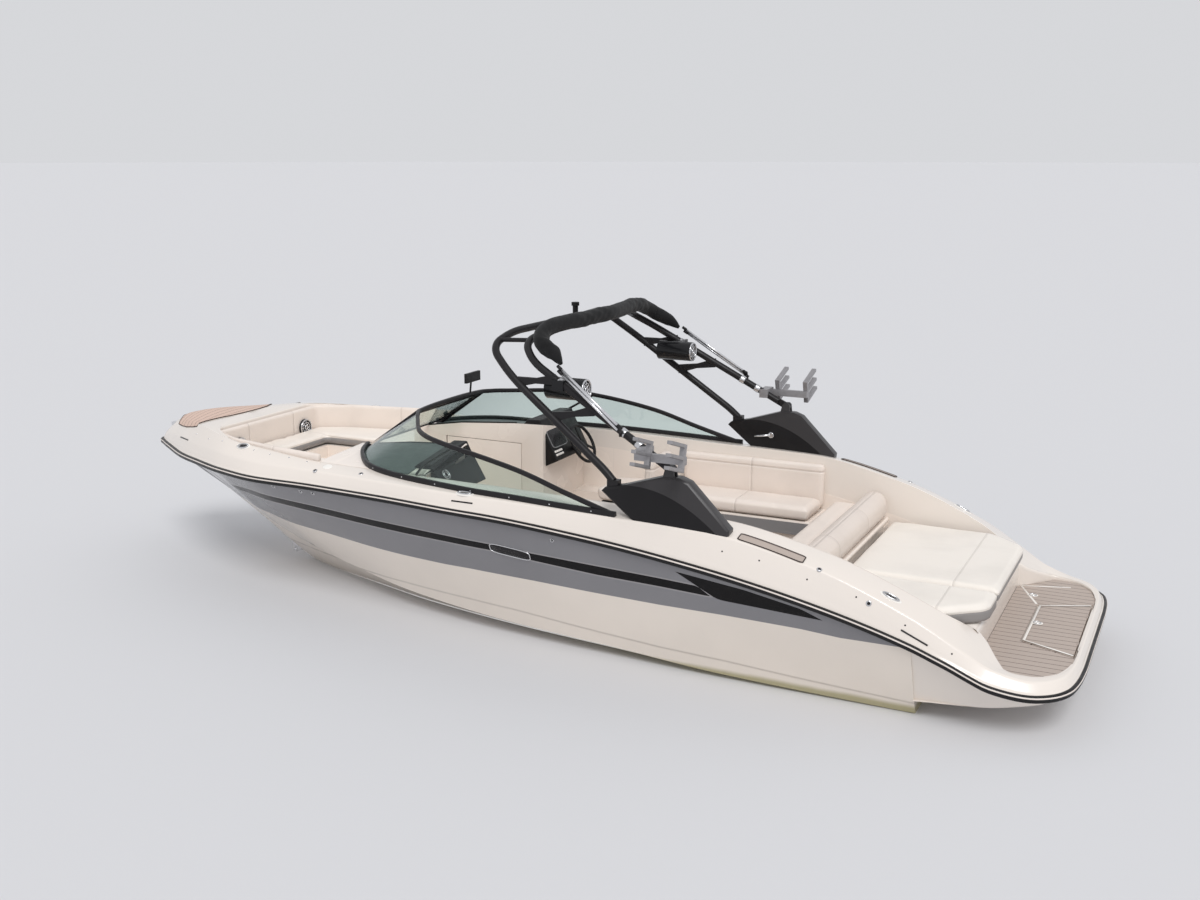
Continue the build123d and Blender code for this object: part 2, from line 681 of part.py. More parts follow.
def build_back_roll():
    """The aft bench's backrest, a long bolster with a rounded top."""
    x0 = COCKPIT_AFT + 1
    x1 = COCKPIT_AFT + ROLL_THICK
    low = SEAT_TOP - CUSHION + SEAM
    radius = ROLL_THICK / 2 - 1
    half = column(COCKPIT_AFT, "coaming_y") - WELL_INSET - ROLL_GAP
    outline = side_prism([(x0, low), (x1, low), (x1, ROLL_TOP - radius), (x0, ROLL_TOP - radius)],
                         -half, half)
    crown = Rot(90, 0, 0) * Cylinder((x1 - x0) / 2, 2 * half)
    return outline + Pos((x0 + x1) / 2, 0, ROLL_TOP - radius) * crown


def build_helm_seat():
    foot = Pos(HELM_SEAT_X, WHEEL_Y, SOLE_Z + 6) * Cylinder(150, 12)
    post_top = SEAT_TOP - CUSHION
    post = Pos(HELM_SEAT_X, WHEEL_Y, (SOLE_Z + post_top) / 2) * Cylinder(45, post_top - SOLE_Z)
    plate = block(HELM_SEAT_X - 200, HELM_SEAT_X + 220, WHEEL_Y - 210, WHEEL_Y + 210,
                  post_top - 12, post_top)
    seat = block(HELM_SEAT_X - 210, HELM_SEAT_X + 260, WHEEL_Y - 260, WHEEL_Y + 260,
                 post_top + SEAM, SEAT_TOP + 20)
    back = block(HELM_SEAT_X - 320, HELM_SEAT_X - 210 - SEAM, WHEEL_Y - 260, WHEEL_Y + 260,
                 post_top + SEAM, SEAT_TOP + 330)
    return foot + post + plate, seat + back


def build_bow_seats():
    """Bow cushions on their moulded base, and the bolsters along the coaming."""
    low = BOW_SEAT_Z + SEAM
    top = BOW_SEAT_Z + BOW_CUSHION
    x0, x1 = CONSOLE_FORE + 2, BOW_WELL_FORE - BOW_BACK_THICK - 4
    room = prism(mirrored([(x, y - BOW_BACK_THICK - 4) for x, y in well_line(x0, x1)]), low, top)
    half = FOOTWELL_HALF + 10
    cushions = room - block(x0 - 1, FOOTWELL_FORE + 10, -half, half, low - 1, top + 1)
    plan = mirrored([(x, y - 1) for x, y in well_line(x0, BOW_WELL_FORE - 1)])
    outer = prism(plan, low, BOW_BACK_TOP)
    plan = mirrored([(x, y - BOW_BACK_THICK)
                     for x, y in well_line(x0 - 20, BOW_WELL_FORE - BOW_BACK_THICK)])
    inner = prism(plan, low - 1, BOW_BACK_TOP + 1)
    return cushions, outer - inner - block(x0 - 40, x0 + 12, -700, 700, low - 2, BOW_BACK_TOP + 2)


def sun_outline(y0, y1, x0, x1, inset):
    """A plan outline on the aft deck, cut back at the corner where the side decks close in."""
    room = prism([(SUN_DECK_AFT - 80, -840 + inset), (-3830, -985 + inset), (-3690, -1115 + inset),
                  (COCKPIT_AFT, -1130 + inset), (COCKPIT_AFT, 1130 - inset), (-3690, 1115 - inset),
                  (-3830, 985 - inset), (SUN_DECK_AFT - 80, 840 - inset)], 0, SKY)
    return block(x0, x1, y0, y1, 1, SKY - 1) & room


def build_engine_lid():
    plate = sun_outline(-2000, PAD_SPLIT_Y - RUN_CLEAR, SUN_DECK_AFT + 12, PAD_FORE, 14)
    plate = plate & block(-WIDE, 0, -WIDE, WIDE, SUN_DECK_Z + SEAM, SUN_DECK_Z + LID_THICK)
    for y in (-650, 150):
        barrel = Rot(90, 0, 0) * Cylinder(LID_HINGE_R, HINGE_LONG)
        plate = plate + Pos(SUN_DECK_AFT + 12 - LID_HINGE_IN, y, SUN_DECK_Z + LID_THICK / 2) * barrel
    pad = sun_outline(-2000, PAD_SPLIT_Y - RUN_CLEAR, PAD_AFT, PAD_FORE, 20)
    return plate, pad & block(-WIDE, 0, -WIDE, WIDE, SUN_DECK_Z + LID_THICK + SEAM, PAD_TOP)


def build_filler():
    pad = sun_outline(PAD_SPLIT_Y + RUN_CLEAR, 2000, PAD_AFT, PAD_FORE, 20)
    return pad & block(-WIDE, 0, -WIDE, WIDE, SUN_DECK_Z + SEAM, PAD_TOP)


def build_platform_mat():
    low, high = PLATFORM_Z + SEAM, PLATFORM_Z + MAT_THICK
    inset = [(x + (6 if x < -4500 else -3), y - 12) for x, y in MAT_OUTLINE]
    gap, side = RUN_CLEAR, HATCH_MAT_GAP
    hatch = prism(mirrored([(HATCH_FORE + gap, HATCH_HALF_FORE + side),
                            (HATCH_AFT - gap, HATCH_HALF_AFT + side)]), low - 1, high + 1)
    return prism(mirrored(inset), low, high) - hatch


def build_platform_hatch():
    """A mat-topped lid on a narrower panel, which leaves room beside it as the lid swings up."""
    gap, side, inset = RUN_CLEAR, HATCH_SIDE, HATCH_PANEL_INSET
    plan = mirrored([(HATCH_FORE - gap, HATCH_HALF_FORE - side),
                     (HATCH_AFT + gap, HATCH_HALF_AFT - side)])
    panel = mirrored([(HATCH_FORE - gap, HATCH_HALF_FORE - inset),
                      (HATCH_AFT + gap, HATCH_HALF_AFT - inset)])
    hatch = prism(plan, PLATFORM_Z, PLATFORM_Z + MAT_THICK)
    hatch = hatch + prism(panel, PLATFORM_Z - HATCH_THICK + SEAM, PLATFORM_Z)
    for y in (-HATCH_HALF_AFT / 2, HATCH_HALF_AFT / 2):
        barrel = Rot(90, 0, 0) * Cylinder(HINGE_R, HINGE_LONG)
        hatch = hatch + Pos(HATCH_AFT + gap, y, PLATFORM_Z + MAT_THICK) * barrel
    return hatch


def build_floor_mat():
    sole = [(BENCH_FORE - 20, LOUNGE_FRONT_Y + 20), (CONSOLE_AFT - 10, LOUNGE_FRONT_Y + 20)]
    mat = prism(mirrored(sole), SOLE_Z + SEAM, SOLE_Z + 8)
    post = Pos(HELM_SEAT_X, WHEEL_Y, SOLE_Z) * Cylinder(156, 40)
    return mat - post


def deck_pad(outline, thick, base):
    """A thin pad that follows the deck's top surface under it."""
    tall = prism(outline, 0, SKY)
    return (Pos(0, 0, thick) * base & tall) - base


def build_fairings(deck):
    outline = [(-1425, 1240), (-1130, 1478), (-1160, 1508), (-1300, 1535), (-1640, 1640),
               (-1770, 1644), (-1850, 1615), (-2175, 1285), (-2170, 1230)]
    side = side_prism(outline, FAIRING_IN, FAIRING_OUT)
    edges = side.edges().filter_by(GeomType.LINE).group_by(Axis.Y)[-1]
    side = chamfer(edges, 16)
    for y in (PIVOT_Y - KNUCKLE_HALF - EAR_THICK - 1, PIVOT_Y + KNUCKLE_HALF + 1):
        ear = side_prism([(PIVOT_X - 46, 1600), (PIVOT_X + 60, 1600), (PIVOT_X + 34, PIVOT_Z + 18),
                          (PIVOT_X + 18, PIVOT_Z + 34), (PIVOT_X - 18, PIVOT_Z + 34),
                          (PIVOT_X - 34, PIVOT_Z + 18)], y, y + EAR_THICK)
        side = side + ear
    pin = Pos(PIVOT_X, PIVOT_Y, PIVOT_Z) * Rot(90, 0, 0) * Cylinder(PIN_R, 2 * KNUCKLE_HALF + 8)
    side = side - deck
    return both_sides(side + pin)


def tower_foot(x, y, z, fairings):
    """The front leg's foot block, which ends just clear of the fairing that it sits on."""
    foot = Pos(x, y, z) * Box(90, 66, 60)
    return foot - fairings - Pos(0, 0, SEAM) * fairings


def hoop(points, radius):
    """A tube over the boat, from its port half."""
    return tube(points + [(x, -y, z) for x, y, z in reversed(points[:-1])], radius)


def web_plate(side, y, front, aft):
    """A plate between the front and aft legs, waisted in the middle."""
    middle = ((front[0] + aft[0]) / 2, (front[1] + aft[1]) / 2)
    places = [(front, WEB_END), (middle, WEB_WAIST), (aft, WEB_END)]
    top = [(x, z + half) for (x, z), half in places]
    bottom = [(x, z - half) for (x, z), half in reversed(places)]
    low = side * y - WEB_THICK / 2
    return side_prism(top + bottom, low, low + WEB_THICK)


def build_tower(fairings):
    front = [(-1212, 1392, 1552), (-1130, 1378, 1628), (-240, 1243, 2275), (5, 1120, 2478),
             (-35, 850, 2568), (-190, 0, 2598)]
    aft = [(PIVOT_X, PIVOT_Y, PIVOT_Z), (-420, 1205, 2395), (-262, 1040, 2520),
           (-330, 780, 2580), (-440, 0, 2608)]
    frame = hoop(front, TUBE_R) + hoop(aft, TUBE_R)
    for side in (-1, 1):
        foot = tower_foot(front[0][0] - 6, side * front[0][1], front[0][2] - 17, fairings)
        pivot = Pos(PIVOT_X, side * PIVOT_Y, PIVOT_Z) * Rot(90, 0, 0)
        frame = frame + foot + pivot * Cylinder(KNUCKLE_R, 2 * KNUCKLE_HALF)
        frame = frame + web_plate(side, 1246, (-300, 2231), (-640, 2273))
        frame = frame + web_plate(side, 1298, (-640, 1984), (-1010, 2067))
        frame = frame + tube([(-95, side * 430, 2580), (-400, side * 430, 2594)], 18)
        frame = frame + tube([(-20, side * 1020, 2520), (-280, side * 1000, 2530)], 18)
        for low, high in ((-90, -KNUCKLE_HALF), (KNUCKLE_HALF, 90)):
            frame = frame - block(PIVOT_X - 200, PIVOT_X + 75, side * PIVOT_Y + low,
                                  side * PIVOT_Y + high, PIVOT_Z - 200, PIVOT_Z + 60)
        frame = frame - pivot * Cylinder(PIN_R + PIN_FIT, 400)
    return frame


def build_engine():
    """The engine, as one plain block on its beds."""
    return block(ENGINE_AFT, ENGINE_FORE, -ENGINE_HALF, ENGINE_HALF, BED_TOP + SEAM, ENGINE_TOP)


def build_transom_shield():
    """The drive's mounting plate on the transom, with a lug above and below the steering yoke."""
    x = TRANSOM_X
    plate = block(x - SHIELD_THICK, x - SEAM, -190, 190, -330, 110)
    plate = fillet(plate.edges().filter_by(Axis.X), 60)
    for low, high in ((62, 92), (-272, -242)):
        lug = block(STEER_X, x - SHIELD_THICK + 1, -46, 46, low, high)
        lug = lug + Pos(STEER_X, 0, (low + high) / 2) * Cylinder(46, high - low)
        plate = plate + lug
    return plate - Pos(STEER_X, 0, TILT_Z) * Cylinder(STEER_PIN_R + PIN_FIT, 600)


def build_steer_yoke():
    """The ring that turns to steer: pins up and down in the lugs, and pins inward for the leg."""
    half = YOKE_HALF
    ring = block(STEER_X - 50, STEER_X + 50, -half, half, TILT_Z - 145, TILT_Z + 145)
    ring = ring - block(STEER_X - 51, STEER_X + 51, YOKE_WALL - half, half - YOKE_WALL,
                        TILT_Z - 125, TILT_Z + 125)
    for side in (-1, 1):
        ring = ring + Pos(STEER_X, 0, TILT_Z + side * 162) * Cylinder(STEER_PIN_R, 38)
        ring = ring + Pos(TILT_X, side * (half - 32), TILT_Z) * Rot(90, 0, 0) * Cylinder(TILT_PIN_R, 28)
    return ring


def leg_section(z, fore, aft, half):
    """The leg's outline at one height: a long hexagon with its points fore and aft."""
    outline = [(fore, 0), (fore - 70, half), (aft + 120, half), (aft, 0), (aft + 120, -half),
               (fore - 70, -half)]
    return Wire.make_polygon([Vector(x, y, z) for x, y in outline], close=True)


def build_drive_leg():
    """The leg: a housing on the yoke's pins, a blade-like stem, a plate, a torpedo and a skeg."""
    neck = YOKE_HALF - YOKE_WALL - RUN_CLEAR
    x = TILT_X
    housing = side_prism([(x + 35, -150), (x + 35, -50), (x - 210, -50), (x - 255, -95), (x - 255, -200),
                          (x - 80, -200)], -neck, neck)
    housing = housing - Pos(TILT_X, 0, TILT_Z) * Rot(90, 0, 0) * Cylinder(TILT_PIN_R + PIN_FIT, 400)
    stem = Solid.make_loft([leg_section(-198, x - 80, x - 320, 62),
                            leg_section(PLATE_Z, x - 110, x - 360, 48),
                            leg_section(SHAFT_Z + 30, x - 140, x - 350, 40)], ruled=True)
    plate = prism(mirrored([(x - 120, 45), (x - 210, 105), (x - 480, 120), (x - 535, 60)]),
                  PLATE_Z - 7, PLATE_Z + 7)
    aft = PROP_X + HUB_LONG / 2 + PROP_GAP
    nose = x - 105
    torpedo = Pos((nose + aft) / 2, 0, SHAFT_Z) * Rot(0, 90, 0) * Cylinder(HUB_R, nose - aft)
    torpedo = torpedo + Pos(nose, 0, SHAFT_Z) * Sphere(HUB_R)
    skeg = side_prism([(x - 140, SHAFT_Z - 40), (x - 210, SHAFT_Z - 235), (x - 320, SHAFT_Z - 245),
                       (aft + 5, SHAFT_Z - 40)], -8, 8)
    leg = housing + stem + plate + torpedo + skeg
    leg = leg - block(aft - 200, aft, -60, 60, SHAFT_Z - HUB_R - 1, SHAFT_Z + HUB_R + 1)
    return leg - Pos(PROP_X, 0, SHAFT_Z) * Rot(0, 90, 0) * Cylinder(SHAFT_R + PIN_FIT, 160)


def build_propeller():
    """Blades of a screw: each is a plate that twists from root to tip on the hub."""
    hub = Pos(PROP_X, 0, SHAFT_Z) * Rot(0, 90, 0) * Cylinder(HUB_R - 3, HUB_LONG)
    cone = Pos(PROP_X - HUB_LONG / 2 - 22, 0, SHAFT_Z) * Rot(0, -90, 0) * Cone(HUB_R - 6, 26, 44)
    shaft = Pos(PROP_X + HUB_LONG / 2 + 8, 0, SHAFT_Z) * Rot(0, 90, 0) * Cylinder(SHAFT_R, 20)
    wheel = hub + cone + shaft

    def blade_section(r, chord, pitch_angle, thick):
        across = Vector(0, cos(radians(pitch_angle)), 0) + Vector(sin(radians(pitch_angle)), 0, 0)
        depth = Vector(-cos(radians(pitch_angle)), sin(radians(pitch_angle)), 0)
        middle = Vector(PROP_X, 0, SHAFT_Z + r)
        corners = [middle - across * chord / 2, middle + depth * thick / 2,
                   middle + across * chord / 2, middle - depth * thick / 2]
        return Wire.make_polygon(corners, close=True)
    blade = Solid.make_loft([blade_section(HUB_R - 12, 70, 62, 12), blade_section(110, 130, 40, 9),
                             blade_section(155, 135, 31, 6), blade_section(PROP_R, 60, 27, 3)],
                            ruled=True)
    for index in range(BLADES):
        wheel = wheel + blade.rotate(Axis((0, 0, SHAFT_Z), (1, 0, 0)), index * 360 / BLADES)
    return wheel


def build_boot(tower):
    """The stowed canopy in its long cover, on the aft hoop."""
    route = [(-640, 1190, 2420), (-440, 1110, 2545), (-410, 860, 2650), (-500, 0, 2690)]
    other = [(x, -y, z) for x, y, z in reversed(route[:-1])]
    cover = tube(route[:-1] + other, BOOT_R)
    return cover - tower


def build_canopy_arms(tower):
    """The canopy's folded bows: a pair of bright tubes a side, on a bracket on the aft leg."""
    arms = tube([(-1290, 1425, 1935), (-700, 1290, 2345)], 11)
    arms = arms + tube([(-1280, 1410, 1970), (-690, 1279, 2380)], 11)
    arms = arms + block(-1330, -1270, 1300, 1440, 1905, 1990)
    arms = arms + block(-720, -680, 1200, 1300, 2300, 2400)
    return both_sides(arms - tower)


def build_tower_speakers(tower):
    """Cans under the upper webs, facing aft."""
    can = Pos(SPEAKER_X, SPEAKER_Y, SPEAKER_Z) * Rot(0, 90, 0) * Cylinder(SPEAKER_R, SPEAKER_LONG)
    strap = block(SPEAKER_X - 50, SPEAKER_X + 50, SPEAKER_Y + 20, 1290, SPEAKER_Z + 10, SPEAKER_Z + 90)
    return both_sides(can + strap - tower)


def rack_fork():
    """One fork in its own plane: a back with three prongs, and a slot for a board between each two."""
    tall = 2 * PRONG_PITCH + PRONG_THICK
    fork = block(-20, 20, 0, 40, -PRONG_THICK / 2, tall - PRONG_THICK / 2)
    for index in range(3):
        middle = index * PRONG_PITCH
        fork = fork + block(-20, 20, 0, PRONG_LONG, middle - PRONG_THICK / 2, middle + PRONG_THICK / 2)
    return fork


def build_racks(tower):
    """Board racks: a clamp on the aft leg, a bar along the side and two forks that open outboard."""
    rack = block(-1520, -1440, 1325, 1500, 1765, 1845)
    rack = rack + block(RACK_X[1] - 20, -1440, RACK_Y - 52, RACK_Y - 12, RACK_Z + 40, RACK_Z + 100)
    for x in RACK_X:
        rack = rack + Pos(x, RACK_Y, RACK_Z) * Rot(RACK_TILT, 0, 0) * rack_fork()
    return both_sides(rack - tower)


def build_cleats(deck):
    """Folding cleats on the side decks."""
    out = []
    for x in (-3180, 150, 2700):
        y = column(x, "edge_y") - 25
        z = column(x, "edge_z") + 6
        base = Pos(x, y, z) * Box(150, 34, 30)
        bar = Pos(x, y, z + 34) * Rot(0, 90, 0) * Cylinder(9, 190)
        posts = Pos(x - 38, y, z + 22) * Cylinder(8, 30) + Pos(x + 38, y, z + 22) * Cylinder(8, 30)
        cleat = base + bar + posts - deck
        out += [cleat, mirror(cleat, about=Plane.XZ)]
    return Compound(children=out)


def stem_point(z):
    """Where the stem line passes a height, and the direction that it runs in."""
    for (x0, z0), (x1, z1) in zip([row[:2] for row in STATIONS], [row[:2] for row in STATIONS[1:]]):
        if z0 < z <= z1:
            along = Vector(x1 - x0, 0, z1 - z0).normalized()
            return Vector(x0 + (x1 - x0) * (z - z0) / (z1 - z0), 0, z), along
    raise ValueError(z)


def build_bow_eye(hull):
    """A plate with an eye on the stem, for a trailer's winch or a mooring line."""
    start, along = stem_point(EYE_Z)
    out = Vector(along.Z, 0, -along.X)
    corners = [(-70, -30), (-70, 8), (-24, 66), (24, 66), (70, 8), (70, -30)]
    outline = [start + along * run + out * rise for run, rise in corners]
    plate = side_prism([(point.X, point.Z) for point in outline], -EYE_THICK / 2, EYE_THICK / 2)
    centre = start + out * EYE_OUT
    return plate - hull - Pos(centre.X, 0, centre.Z) * Rot(90, 0, 0) * Cylinder(EYE_R, 60)


def build_mirror(frame):
    """The rear-view mirror on its bracket on the windshield's header."""
    stalk = tube([(HEADER_X - 10, -330, HEADER_Z - 8), (HEADER_X - 25, -330, HEADER_Z + 130)], 9)
    head = Pos(HEADER_X - 40, -330, HEADER_Z + 165) * Box(26, 250, 90)
    return stalk + head - frame


def build_masthead_light(tower):
    return Pos(-190, 0, 2660) * Cylinder(24, 80) + Pos(-190, 0, 2715) * Cylinder(34, 30) - tower


def build_bow_light(deck):
    lens = Pos(4470, 0, 1225) * Box(90, 60, 60)
    return lens - deck


def main():
    hull, deck = build_hull(), build_deck()
    starboard, port = build_console(WALKWAY_HALF, -1), build_console(PORT_CONSOLE_Y, 1)
    frame, glass = build_windshield([deck, starboard, port])
    pane, bars = build_centre_window()
    seat_post, helm_seat = build_helm_seat()
    bow_cushions, bow_backs = build_bow_seats()
    lid, sunpad = build_engine_lid()
    fairings = build_fairings(deck)
    tower = build_tower(fairings)
    boot = build_boot(tower)
    bow_pad = mirrored([(4130, 190), (3840, 400), (3400, 690), (3330, 720)])
    gunwale_mat = [(-2230, 1300), (-2230, 1440), (-2720, 1415), (-2720, 1290)]
    nodes = {
        "hull": cut_across(hull, [BAY_AFT - 20]), "deck": cut_across(deck, [SUN_DECK_AFT, BAY_AFT]),
        "inner_moulding": build_inner(), "rub_rail": build_rub_rail(),
        "console_port": port, "console_starboard": build_cabin(starboard),
        "head_door": build_head_door(),
        "dashes": Compound(children=[build_dash(-1, [starboard]), build_dash(1, [port])]),
        "windshield_frame": frame, "windshield_glass": glass,
        "centre_window_glass": pane, "centre_window_frame": bars,
        "steering_wheel": build_steering_wheel(), "seat_bases": build_seat_bases(),
        "lounge_cushions": build_lounge_cushions(), "lounge_backs": build_lounge_backs(),
        "back_roll": build_back_roll(), "helm_seat_post": seat_post, "helm_seat": helm_seat,
        "bow_cushions": bow_cushions, "bow_backs": bow_backs,
        "engine_lid": lid, "sunpad": sunpad, "sunpad_filler": build_filler(),
        "platform_mat": build_platform_mat(), "platform_hatch": build_platform_hatch(),
        "floor_mat": build_floor_mat(), "tower_fairings": fairings, "tower_frame": tower,
        "canopy_boot": boot, "canopy_arms": build_canopy_arms(tower + boot),
        "tower_speakers": build_tower_speakers(tower), "board_racks": build_racks(tower),
        "masthead_light": build_masthead_light(tower), "engine_block": build_engine(),
        "transom_shield": build_transom_shield(), "steer_yoke": build_steer_yoke(),
        "drive_leg": build_drive_leg(), "propeller": build_propeller(),
        "cleats": build_cleats(deck), "bow_eye": build_bow_eye(hull),
        "view_mirror": build_mirror(frame), "bow_light": build_bow_light(deck),
        "bow_pads": deck_pad(bow_pad, BOW_PAD_THICK, deck),
        "gunwale_mats": both_sides(deck_pad(gunwale_mat, 8, deck)),
    }
    for name, shape in nodes.items():
        save(name, shape)


main()
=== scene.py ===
# %% [markdown]
# This script dresses a nine-metre speedboat. The construction model gives every piece its place and
# its size. Here the hull, the deck and the windshield become smooth surfaces, the cushions are blown
# up as cloth, and each material gets the detail that the real one shows.

# %% Tools
import math

import bmesh
import bpy
import numpy as np
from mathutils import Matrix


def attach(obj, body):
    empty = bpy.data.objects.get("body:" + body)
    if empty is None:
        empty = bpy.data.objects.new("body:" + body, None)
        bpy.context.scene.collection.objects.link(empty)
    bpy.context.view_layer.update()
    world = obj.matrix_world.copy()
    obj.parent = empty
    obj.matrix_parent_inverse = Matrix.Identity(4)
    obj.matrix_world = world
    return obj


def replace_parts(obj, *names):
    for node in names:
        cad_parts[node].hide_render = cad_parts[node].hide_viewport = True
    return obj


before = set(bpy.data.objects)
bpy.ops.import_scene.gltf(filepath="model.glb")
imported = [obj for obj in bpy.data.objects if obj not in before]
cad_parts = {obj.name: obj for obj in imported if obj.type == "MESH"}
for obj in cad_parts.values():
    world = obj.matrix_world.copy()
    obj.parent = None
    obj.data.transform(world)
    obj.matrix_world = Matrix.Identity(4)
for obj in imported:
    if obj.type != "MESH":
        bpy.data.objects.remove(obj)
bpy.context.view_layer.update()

# %% [markdown]
# The camera stands off the port quarter, a little above the tower. Its place and its lens were worked
# out from the horizon, the waterline and the boat's mirror symmetry. It is made first.

# %% Camera
CAMERA_PLACE = (-5.405, 10.332, 4.038)
CAMERA_TURN = 25.72
CAMERA_DOWN = 12.796
CAMERA_LENS = 39.9

camera = bpy.data.objects.new("camera", bpy.data.cameras.new("camera"))
bpy.context.scene.collection.objects.link(camera)
camera.location = CAMERA_PLACE
camera.rotation_euler = (math.radians(90 - CAMERA_DOWN), 0, math.radians(180 + CAMERA_TURN))
camera.data.lens = CAMERA_LENS
camera.data.sensor_width = 36
bpy.context.scene.camera = camera
bpy.context.scene.view_settings.view_transform = "Standard"

# %% [markdown]
# A finish is a tree of nodes. The two classes below keep that short: a wire is a node's output that
# answers to plus, minus and times, and a paint is one material with a single method that adds any
# node, its settings first and then its sockets.

# %% Finishes: the helpers


def linear(red, green, blue):
    """A screen colour from 0 to 255, turned into the linear values that a shader takes."""
    share = np.array([red, green, blue]) / 255
    bright = np.where(share <= 0.04045, share / 12.92, ((share + 0.055) / 1.055) ** 2.4)
    return (*bright.tolist(), 1.0)


def dimmed(colour, share, lift=0.0):
    """A colour times a share, and raised a little if asked. A share above one makes it brighter."""
    return tuple(min(1.0, share * part + lift) for part in colour[:3]) + (1.0,)


class Wire:
    """A node's output. Each operator adds the Math node that it stands for."""

    def __init__(self, paint, socket):
        self.paint = paint
        self.socket = socket

    def __add__(self, other):
        return self.paint.maths("ADD", self, other)

    def __radd__(self, other):
        return self.paint.maths("ADD", other, self)

    def __sub__(self, other):
        return self.paint.maths("SUBTRACT", self, other)

    def __rsub__(self, other):
        return self.paint.maths("SUBTRACT", other, self)

    def __mul__(self, other):
        return self.paint.maths("MULTIPLY", self, other)

    def __rmul__(self, other):
        return self.paint.maths("MULTIPLY", other, self)

    def __truediv__(self, other):
        return self.paint.maths("DIVIDE", self, other)

    def __abs__(self):
        return self.paint.maths("ABSOLUTE", self)


class Paint:
    """One material while it is mixed."""

    def __init__(self, name):
        self.material = bpy.data.materials.new(name)
        self.material.use_nodes = True
        self.tree = self.material.node_tree
        self.tree.nodes.clear()
        self.place = self.node("ShaderNodeTexCoord")["Object"]
        self.axes = self.node("ShaderNodeSeparateXYZ", sockets={"Vector": self.place})

    def node(self, kind, settings=None, sockets=None):
        """Adds a node: its settings are set first, then the values and links of its sockets."""
        made = self.tree.nodes.new(kind)
        for name, value in (settings or {}).items():
            setattr(made, name, value)
        for name, value in (sockets or {}).items():
            if isinstance(value, Wire):
                self.tree.links.new(value.socket, made.inputs[name])
            else:
                made.inputs[name].default_value = value
        return {out.name: Wire(self, out) for out in made.outputs if out.enabled}

    def maths(self, operation, *values):
        return self.node("ShaderNodeMath", {"operation": operation}, dict(enumerate(values)))["Value"]

    def blend(self, share, first, second):
        """A colour from the first to the second as the share goes from 0 to 1."""
        made = self.tree.nodes.new("ShaderNodeMix")
        made.data_type = "RGBA"
        for index, value in ((0, share), (6, first), (7, second)):
            if isinstance(value, Wire):
                self.tree.links.new(value.socket, made.inputs[index])
            else:
                made.inputs[index].default_value = value
        return Wire(self, made.outputs[2])

    def ramp(self, value, low, high, to_low=0.0, to_high=1.0):
        """A value that runs from one number to another, and stays there at either end."""
        sockets = {"Value": value, "From Min": low, "From Max": high, "To Min": to_low, "To Max": to_high}
        return self.node("ShaderNodeMapRange", {"interpolation_type": "SMOOTHSTEP"}, sockets)["Result"]

    def noise(self, scale, detail=3.0, stretch=(1, 1, 1)):
        """Soft random patches, so many to the metre, each axis stretched if asked."""
        vector = self.place
        if stretch != (1, 1, 1):
            vector = self.node("ShaderNodeMapping", sockets={"Vector": vector, "Scale": stretch})["Vector"]
        sockets = {"Vector": vector, "Scale": scale, "Detail": detail}
        noise = self.node("ShaderNodeTexNoise", sockets=sockets)
        return noise["Fac"] if "Fac" in noise else noise["Factor"]

    def bump(self, height, strength, distance=0.001):
        sockets = {"Height": height, "Strength": strength, "Distance": distance}
        return self.node("ShaderNodeBump", sockets=sockets)["Normal"]

    def finish(self, colour, roughness, normal=None, **fixed):
        """The surface shader at the end of the tree."""
        sockets = {"Base Color": colour, "Roughness": roughness}
        if normal is not None:
            sockets["Normal"] = normal
        sockets.update({name.replace("_", " "): value for name, value in fixed.items()})
        shader = self.node("ShaderNodeBsdfPrincipled", sockets=sockets)["BSDF"]
        self.node("ShaderNodeOutputMaterial", sockets={"Surface": shader})
        return self.material


# %% [markdown]
# The boat is mostly gelcoat: a hard, glossy resin skin. Up close it has a faint orange peel, and where
# feet and hands go its gloss is a little worn. The vinyl on the seats has a fine leather grain. The
# mats are closed foam, brushed along the boat, with dark lines routed between the planks.

# %% Finishes: gelcoat and plastics
WHITE = linear(236, 227, 218)
HULL_WHITE = linear(236, 226, 215)
# Painted light in part: the liner's white is set brighter than the deck's to make up for the shade inside
# the cockpit.
LINER_WHITE = linear(246, 235, 225)
TOPSIDE_GREY = linear(134, 133, 136)
STRIPE_BLACK = linear(10, 8, 10)
BLACK = linear(20, 19, 20)
CREAM = linear(238, 226, 216)
PIPING_GREY = linear(142, 138, 136)
MAT_GREY = linear(190, 176, 166)
MAT_LINE = linear(98, 84, 80)
TEAK = linear(222, 194, 178)


def gelcoat(name, colour, wear=0.06):
    """Glossy resin: nearly even in colour, with gloss that varies in wide soft patches."""
    paint = Paint(name)
    patches = paint.noise(0.9, 2.0)
    peel = paint.noise(120.0, 1.0)
    tint = paint.blend(paint.ramp(patches, 0.3, 0.75), colour, dimmed(colour, 0.975))
    rough = paint.ramp(paint.noise(3.0, 2.0), 0.3, 0.75, 0.2, 0.2 + wear)
    return paint.finish(tint, rough, paint.bump(peel, 0.03), Coat_Weight=0.35, Coat_Roughness=0.08)


def moulded_plastic(name, colour, rough=0.42, grain=0.25):
    """Injection moulded plastic or powder coat: a fine even pimple and a broad soft sheen."""
    paint = Paint(name)
    pimples = paint.noise(900.0, 2.0)
    dust = paint.ramp(paint.noise(5.0, 5.0), 0.45, 0.8)
    tint = paint.blend(dust, colour, dimmed(colour, 1.15, 0.002))
    sheen = paint.ramp(paint.noise(18.0, 4.0), 0.3, 0.7, rough, rough + 0.14)
    return paint.finish(tint, sheen, paint.bump(pimples, grain), Specular_IOR_Level=0.3)


